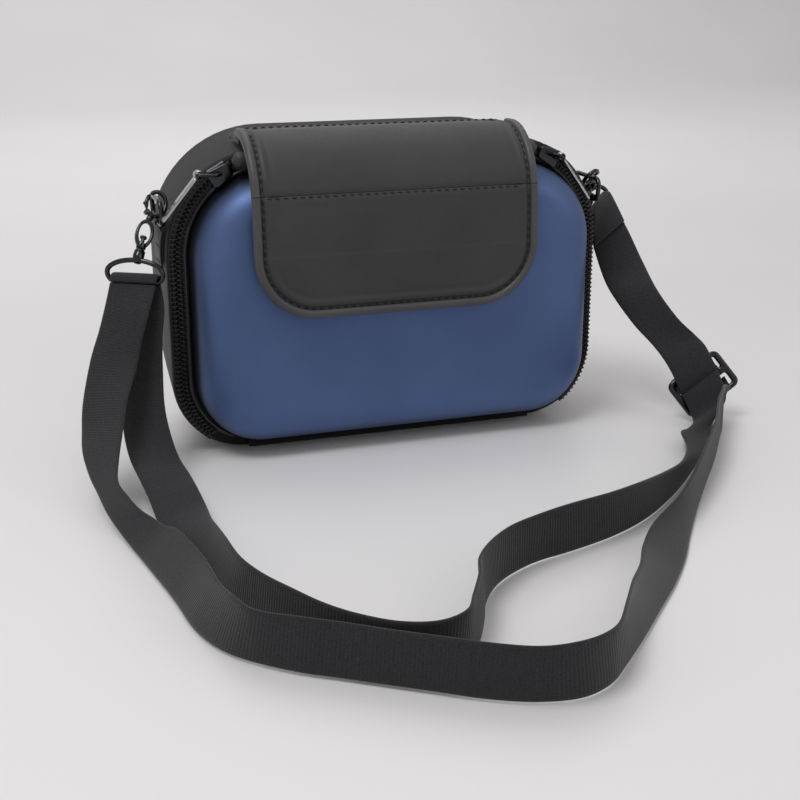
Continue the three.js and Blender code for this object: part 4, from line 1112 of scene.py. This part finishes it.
def lower_binding_path():
    """The middle of the stiff panel's bound edge: down its left side, round and up its right side."""
    left, right = BINDING_X
    radius, level = FLAP_CORNER - BINDING_WIDE / 2, FLAP_BOTTOM + FLAP_CORNER
    side = [(y, z) for y, z in flap_rows(FLAP_LOW_LINE, 1.2) if z > level]
    arcs = []
    for cx, start in ((left + radius, 180), (right - radius, 270)):
        for t in np.radians(np.linspace(start, start + 90, 30)):
            arcs.append(radius * upright(t) + (cx, FLAP_LOW_LINE[-1][0], level))
    path = [(left, *p) for p in side] + arcs + [(right, *p) for p in reversed(side)]
    return even_curve(path, 1.0)


def bound_edge(path):
    """A folded tape over the flap's edge: a rounded bead with slight puckers from its stitches."""
    path = np.asarray(path, float)
    along = unit(np.gradient(path, axis=0))
    turn = full_turn(16)
    deep = np.zeros_like(path)
    deep[:, 1], deep[:, 2] = -along[:, 2], along[:, 1]
    deep[np.abs(along[:, 0]) > 0.02] = (0, 1, 0)
    if along[-1][2] > 0.5:  # the far side of a whole run climbs, which would turn its section over
        deep[deep[:, 1] < 0] *= -1
    deep = unit(deep - (deep * along).sum(1, keepdims=True) * along)
    wide = np.cross(along, deep)
    run = run_along(path)
    pucker = 1 + 0.03 * np.cos(2 * math.pi * run / STITCH_PITCH)

    def squarer(value):
        return math.copysign(abs(value) ** 0.8, value)

    ring = [(squarer(math.cos(t)) * BINDING_WIDE / 2, squarer(math.sin(t)) * BINDING_THICK / 2) for t in turn]
    stations = zip(path, wide, deep, pucker)
    return loft([[p + w * a * k + d * b * k for a, b in ring] for p, w, d, k in stations])


def bindings():
    bead = bound_edge(lower_binding_path())
    lower = make_piece("flap_binding_skin", [bead], EDGE_LEATHER, "flap_lower")
    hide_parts("flap_binding_lower")
    for name, path in zip(("left", "right"), upper_binding_paths()):
        piece = make_piece(f"flap_binding_{name}_skin", [bound_edge(path)], EDGE_LEATHER)
        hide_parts(f"flap_binding_{name}")
        bend_from_root(piece)


FORWARD, BACKWARD = (0, -1, 0), (0, 1, 0)


def stitch(start, end, out, radius):
    """One stitch: a short thread that dips into the skin at both ends."""
    start, end, out = (np.asarray(v, float) for v in (start, end, out))
    share = np.linspace(0, 1, 6)
    path = [start + (end - start) * s + out * (math.sin(math.pi * s) * 0.38 - 0.2) for s in share]
    return tube(path, radius, side=out, sides=6)


def sewn_line(path, out, pitch=STITCH_PITCH, length=2.5, radius=0.3):
    """A row of stitches along a path, whose threads stand out of the skin in the direction out."""
    path = even_curve(path, pitch / 8)
    shapes = []
    for i in range(2, len(path) - 8, 8):
        j = i + int(8 * length / pitch)
        shapes.append(stitch(path[i], path[j], out, radius))
    return shapes


def flap_stitches():
    """Stitches beside the binding, and the sewn line across the flap."""
    inset = BINDING_WIDE / 2 + 0.75
    face = FLAP_THICK / 2 - 0.45
    lower = lower_binding_path()
    inward = np.cross(unit(np.gradient(lower, axis=0)), (0, 1, 0)) * inset
    shapes = sewn_line(lower + inward - (0, face, 0), FORWARD)
    seam_y, seam_z = -FLAP_THICK / 2 - 26.73, FLAP_SEAM_Z - 0.5
    across = [(FLAP_LEFT + 5, seam_y, seam_z), (FLAP_RIGHT - 5, seam_y, seam_z)]
    shapes += sewn_line(across, FORWARD, length=2.2, radius=0.32)
    make_piece("flap_stitches_low", shapes, THREAD, "flap_lower")
    for name, path, way in zip(("left", "right"), upper_binding_paths(), (1, -1)):
        rows = path[:, 1:]
        run = np.column_stack([path[:, 0] + way * inset, offset_line(rows, np.full(len(rows), face))])[8:]
        seams = sewn_line(run, (0, -0.75, 0.66))
        piece = make_piece(f"flap_stitches_{name}", seams, THREAD)
        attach(piece, "flap")


# ---------------------------------------------------------------- small sewn pieces
def padded_roll():
    """The padded bead under the flap's shoulders, pinched at its closed ends."""
    low, high = cad_mm("padded_roll")
    middle = (low + high) / 2
    half = (high - low) / 2
    turn = full_turn(20)
    rows = []
    for x in np.linspace(low[0], high[0], 120):
        end = min(x - low[0], high[0] - x)
        share = min(1, max(end, 0.0) / 3.2)
        full = 0.35 + 0.65 * math.sqrt(share * (2 - share))
        crease = 1 - 0.02 * math.sin(x * 1.7) - 0.015 * math.sin(x * 0.9 + 1)
        wide, tall = half[1] * full * crease, half[2] * full * crease
        rows.append([(x, middle[1] + wide * math.cos(t), middle[2] + tall * math.sin(t)) for t in turn])
    piece = make_piece("padded_roll_skin", [loft(rows)], LEATHER, "lid")
    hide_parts("padded_roll")


def flap_root():
    """The strip that carries the flap on top of the rear shell, sewn down behind."""
    profile = even_curve([
        (3.7, 130.4), (3.7, 135.0), (4.6, 135.9), (12, 135.9), (20, 134.2), (23.4, 132.9), (24, 132.2),
        (24, 131.5), (22, 130.9),
    ], 0.6)
    left, right = FLAP_LEFT + 1.8, FLAP_RIGHT - 1.8
    rows = []
    for x in np.linspace(left, right, 80):
        end = min(x - left, right - x)
        sink = 0.9 * math.exp(-end / 0.8)
        rows.append([(x, y, z - (sink if z > 131 else 0)) for y, z in profile])
    piece = make_piece("flap_root_skin", [loft(rows)], LEATHER, "case")
    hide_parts("flap_root")
    seams = []
    for y, z, out in ((20.5, 134.15, (0, 0.35, 0.94)), (9.0, 136.0, (0, 0, 1))):
        seams += sewn_line([(left + 3, y, z), (right - 3, y, z)], out)
    make_piece("flap_root_stitches", seams, THREAD, "case")


def patch(name, node, material, body):
    """A hook or loop tape patch with softened corners."""
    low, high = cad_mm(node)
    half, middle = (high - low) / 2, (high + low) / 2
    rim = rounded_rectangle(half[0], half[2], 2.0, steps=5)
    shape = bevelled_plate([rim], 2 * half[1], 0.3)
    piece = make_piece(name, [moved(shape, middle, *np.eye(3))], material, body)
    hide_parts(node)


def mesh_pocket():
    """A net pocket on the lid's lining that bellies out, with an elastic hem along its top."""
    low, high = cad_mm("mesh_pocket")
    rows = []
    for z in np.linspace(low[2], high[2], 40):
        share = (z - low[2]) / (high[2] - low[2])
        row = []
        for across in np.linspace(0, 1, 60):
            x = low[0] + (high[0] - low[0]) * across
            belly = 0.7 * math.sin(math.pi * across) * math.sin(math.pi * min(1, 0.15 + share)) ** 0.5
            row.append((x, low[1] + 0.2 + belly + 0.18 * math.sin(x * 0.7) * share**4, z))
        rows.append(row + [(x, y + 0.35, z) for x, y, z in reversed(row)])
    wide = high[0] - low[0]
    line = [(low[0] + wide * s, low[1] + 0.9 + 0.7 * math.sin(math.pi * s), high[2] - 0.8)
            for s in np.linspace(0, 1, 60)]
    hem = tube(line, 0.8, side=(0, 0, 1))
    piece = make_piece("mesh_pocket_net", [loft(rows), hem], NET, "lid")
    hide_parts("mesh_pocket")


def divider():
    """The padded board across the rear half: two soft faces that meet in a bound edge."""
    low, high = cad_mm("divider")
    half, middle = (high - low) / 2, (high + low) / 2
    shape = bevelled_plate([rounded_rectangle(half[0], half[2], 9, steps=8)], 2 * half[1], 1.1, 5)
    piece = make_piece("divider_board", [moved(shape, middle, *np.eye(3))], LINING, "case")
    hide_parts("divider")


def belt_loop():
    """A broad webbing loop on the back, folded out for a belt and box-stitched at both ends."""
    low, high = cad_mm("belt_loop")
    wide = high[0]
    back, stand = low[1] + 0.75, high[1] - 0.75
    foot = [(back, 0.4), (back, 7), (stand - 1.2, 11.5), (stand, 17)]  # y, and distance from the loop's end
    line = [(y, low[2] + up) for y, up in foot] + [(y, high[2] - up) for y, up in reversed(foot)]
    stations = [[(-wide, y, z), (wide, y, z)] for y, z in line]
    piece = web_piece("belt_loop_webbing", stations, thick=1.5)[0]
    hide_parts("belt_loop")
    shapes = []
    for z0, z1 in ((low[2] + 1.2, low[2] + 6.2), (high[2] - 6.2, high[2] - 1.2)):
        for z in (z0, z1):
            shapes += sewn_line([(-wide + 2, back + 0.9, z), (wide - 2, back + 0.9, z)], BACKWARD)
        for x in (-wide + 2, wide - 2):
            run = [(x, back + 0.9, z0 - 1), (x, back + 0.9, z1 + 3)]
            shapes += sewn_line(run, BACKWARD, 2.4, 1.7)
    make_piece("belt_loop_stitches", shapes, THREAD, "case")


def case_pieces():
    lid_shell()
    lid_lining()
    rear_shell()
    rear_lining()
    line = zip_line(**ZIP, end=ZIP_END)
    zip_tapes(line)
    zip_teeth(line)
    piping()
    hinge_strip()
    flap_upper()
    flap_lower()
    bindings()
    flap_stitches()
    padded_roll()
    flap_root()
    patch("loop_tape", "loop_patch", LOOP_PILE, "lid")
    patch("hook_tape", "hook_patch", HOOK_PILE, "flap_lower")
    mesh_pocket()
    divider()
    belt_loop()


case_pieces()


# ---------------------------------------------------------------- metal fittings
def lathe(profile, x=0.0, sides=20):
    """A turned shape round a line along z at x, from pairs of radius and z."""
    turn = full_turn(sides)
    return loft([[(x + r * math.cos(t), r * math.sin(t), z) for t in turn] for r, z in profile])


def ball(at, radius):
    turn = np.linspace(-math.pi / 2 + 0.15, math.pi / 2 - 0.15, 9)
    profile = [(radius * math.cos(t), radius * math.sin(t)) for t in turn]
    return moved(lathe(profile, sides=14), at, *np.eye(3))


def metal_piece(name, shapes, body):
    return make_piece(name, shapes, GUNMETAL, body)


def round_corner(radius, angle):
    """A point at an angle round the right top corner of the rear shell."""
    return CORNER + radius * upright(angle)


def side_tab(name, side):
    """Webbing doubled round the D-ring's bar and sewn to the rear shell's side."""
    y0, y1 = RING_Y - TAB_HALF, RING_Y + TAB_HALF
    bar = round_corner(BAR_RADIUS, BAR_ANGLE)
    line = [round_corner(TAB_OUT, angle) for angle in np.radians(np.linspace(-6, 12.4, 8))]
    start = math.atan2(line[-1][2] - bar[2], line[-1][0] - bar[0]) + 0.35
    for turn in np.linspace(start, start - math.radians(292), 18):
        line.append(bar + 1.85 * upright(turn))
    stations = [[(side * p[0], y0, p[2]), (side * p[0], y1, p[2])] for p in line]
    piece = web_piece(f"side_tab_{name}_webbing", stations, thick=0.9, smooth_steps=6)[0]
    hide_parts(f"side_tab_{name}")
    seams = []
    for angle in np.radians((-3.5, 4.5)):
        at = round_corner(TAB_OUT + 0.5, angle)
        run = [(side * at[0], y, at[2]) for y in (y0 + 1.2, y1 - 1.2)]
        seams += sewn_line(run, (side, 0, 0.05), 2.6, 1.9, 0.26)
    make_piece(f"side_tab_{name}_stitches", seams, THREAD, "case")


def d_ring(name, side):
    bar = round_corner(BAR_RADIUS, BAR_ANGLE) * (side, 1, 1) + (0, RING_Y, 0)
    up = unit((side * WIRE_TOP[0] - bar[0], 0, WIRE_TOP[1] - bar[2]))
    middle = bar + up * D_RING["depth"] / 2
    corners = rounded_rectangle(D_RING["half"], D_RING["depth"] / 2, 3.2, steps=10)
    path = even_curve([middle + np.array((0, 1, 0)) * a + up * b for a, b in corners], 0.5, closed=True)
    shape = tube(path, D_RING["wire"], side=np.cross(up, (0, 1, 0)), sides=14, closed=True)
    piece = metal_piece(f"d_ring_{name}_wire", [shape], f"d_ring_{name}")
    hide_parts(f"d_ring_{name}")


# Radius and height of the swivel's head, post and neck.
SWIVEL_PROFILE = [
    (0.7, -17.3), (1.25, -17.35), (1.45, -17.8), (1.35, -18.3), (0.8, -18.6), (0.8, -23.4), (1.7, -23.5),
    (2.2, -24.1), (2.3, -26.6), (2.05, -28.4), (1.5, -29.2), (0.8, -29.5),
]


def snap_hook(name, hook):
    """Body, spring gate and swivel of one hook, drawn upright and hung on its D-ring."""
    outward, deep, up = hook_axes(hook)
    origin = hook_origin(hook)

    def hang(shapes):
        return [moved(s, origin, outward, deep, up) for s in shapes]

    turn = np.radians(np.linspace(40, 318, 40))
    line = [(BOW["wide"] * math.cos(t), 0, BOW["z"] + BOW["high"] * math.sin(t)) for t in turn]
    bow = tube(line, BOW["wire"], sides=12, flat=0.95)
    waist = tube([(0.4, 0, -6.9), (0.9, 0, -8), (1.3, 0, -9.4), (1.6, 0, -11)], 1.25, sides=14, flat=1.05)
    rim, opening = ellipse(LOWER_X, LOWER_Z, 3.7, 6.4, 40), ellipse(LOWER_X, LOWER_Z + 0.2, 2.4, 4.7, 40)
    eye = bevelled_plate([rim, opening], 2.2, 0.6)
    boss = lathe([(1.3, -20.5), (1.95, -20.8), (2.0, -22.4), (1.75, -23)], LOWER_X)
    hinge = rod((2.9, -1.4, -6.6), (2.9, 1.4, -6.6), 1.1)
    body = metal_piece(f"hook_{name}_body", hang([bow, waist, eye, boss, hinge]), f"hook_{name}")
    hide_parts(f"snap_hook_{name}")

    line = [(3.3, 0, -5.4), (3.75, 0, -4), (4.1, 0, -2), (3.75, 0, 0.2), (3.4, 0, 1.1)]
    arm = tube(line, 0.72, sides=12, flat=1.2)
    gate = metal_piece(f"hook_{name}_gate", hang([arm, ball((4.5, 0, -3.2), 0.85)]), f"gate_{name}")
    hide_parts(f"hook_gate_{name}")

    post = lathe(SWIVEL_PROFILE, LOWER_X)
    across, down, front = ring_axes(hook)
    path = even_curve(ring_outline(), 0.5, closed=True)
    wire = tube(path, RING["wire"], side=(0, 1, 0), sides=14, closed=True)
    ring = moved(wire, ring_middle(hook), across, -front, -down)
    piece = metal_piece(f"hook_{name}_swivel", hang([post]) + [ring], "case")
    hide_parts(f"hook_swivel_{name}")


def ring_outline():
    """The strap ring: an arch over a straight bar with round corners."""
    half, low, corner = RING["half_wide"], -RING["half_high"], RING["corner"]
    base = low + corner
    rise = RING["half_high"] - base
    arch = [(half * math.cos(t), 0, base + rise * math.sin(t)) for t in np.linspace(0, math.pi, 30)]
    feet = [corner * upright(t) + (cx, 0, base)
            for cx, start in ((-half + corner, 180), (half - corner, 270))
            for t in np.radians(np.linspace(start, start + 90, 10))]
    return arch + feet[1:-1]


# ---------------------------------------------------------------- zip sliders and pulls
SLIDERS = {
    "left": {"side": -1, "angle": 121.5, "turn": 9.5, "pin_radius": 47.3, "lean": 230, "proud": 0.0},
    "right": {"side": 1, "angle": 63, "turn": 5, "pin_radius": 43, "lean": 306, "proud": 2.0},
}
# Half width, half length, shift outwards, y, thickness and bevel of a slider's plates.
SLIDER_PLATES = [
    (3.5, 5.1, 0.1, -4.5, 1.4, 0.6), (2.9, 3.8, 0.5, -3.3, 1.1, 0.4), (0.5, 4.0, 3.4, -2.6, 3.2, 0.2),
]
PIN = {"front": -8.9, "back": -3.1, "wire": 0.68}
PULL = {"length": 24, "width": 4.6, "thick": 1.1, "back": -3.5}
EYE_RADIUS = 1.5


def on_zip(item, radius, degrees, y):
    """A point round the zip's top corner."""
    middle = (item["side"] * (ZIP["half"] - ZIP["top_r"]), y, ZIP["top"] - ZIP["top_r"])
    return middle + radius * upright(math.radians(degrees))


def pin_angle(item):
    return item["angle"] - item["side"] * item["turn"]


def slider(name, item):
    """A slider: its cover with a raised plate, a wall beside it and a bent bail for the pull."""
    out = upright(math.radians(item["angle"]))
    along = np.cross(out, (0, 1, 0))
    at = on_zip(item, ZIP["top_r"], item["angle"], 0)

    def plate(half_out, half_along, cx, y, thick, bevel):
        corner = min(1.8, half_out * 0.9)
        rim = [(cx + x * (1 - 0.2 * (z / half_along) * item["side"]), z)
               for x, z in rounded_rectangle(half_out, half_along, corner, steps=8)]
        return moved(bevelled_plate([rim], thick, bevel, 4), at + (0, y, 0), out, (0, 1, 0), along)

    shapes = [plate(*sizes) for sizes in SLIDER_PLATES]
    radius, front, top = ZIP["top_r"], PIN["front"] - item["proud"], pin_angle(item)
    bail = smooth_curve([
        on_zip(item, radius + 0.5, item["angle"], -4.4),
        on_zip(item, radius + 0.9, item["angle"] - item["side"] * 0.3, front + 1.6),
        on_zip(item, radius + 1.8, item["angle"] * 0.75 + top * 0.25, front),
        on_zip(item, (radius + item["pin_radius"]) / 2 + 0.8, item["angle"] * 0.35 + top * 0.65, front),
        on_zip(item, item["pin_radius"], top, front + 0.6),
        on_zip(item, item["pin_radius"], top, (front + PIN["back"]) / 2),
        on_zip(item, item["pin_radius"], top, PIN["back"] - item["proud"]),
    ], 6)
    shapes.append(tube(bail, PIN["wire"], side=(0.1, 0.2, 1), sides=12))
    piece = metal_piece(f"slider_{name}_body", shapes, f"slider_{name}")
    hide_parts(f"slider_{name}")


def pull(name, item):
    """A thin pull tab hanging on edge from an eye round the bail."""
    pin = on_zip(item, item["pin_radius"], pin_angle(item), 0)
    down = upright(math.radians(item["lean"]))
    middle = PULL["back"] - item["proud"] - PULL["width"] / 2
    at = pin + (0, middle, 0)
    rim = rounded_rectangle(PULL["width"] / 2, PULL["length"] / 2 - 0.9, 1.1)
    tab = bevelled_plate([rim], PULL["thick"], 0.3)
    across = np.cross(down, BACKWARD)
    tab = moved(tab, at + down * (PULL["length"] / 2 + 0.6), BACKWARD, across, down)
    eye_ring = [at + (down * math.cos(t) + across * math.sin(t)) * EYE_RADIUS for t in full_turn(24)]
    eye = tube(eye_ring, 0.42, side=(0, 1, 0), sides=12, closed=True)
    wide_eye = (np.asarray(eye[0]) - at) * (1, 4.4, 1) + at
    piece = make_piece(f"pull_{name}_tab", [tab, (wide_eye, eye[1])], BRIGHT, f"pull_{name}")
    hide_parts(f"pull_tab_{name}")


def fittings():
    for name, hook in SIDES.items():
        side_tab(name, hook["side"])
        d_ring(name, hook["side"])
        snap_hook(name, hook)
    for name, item in SLIDERS.items():
        slider(name, item)
        pull(name, item)


fittings()
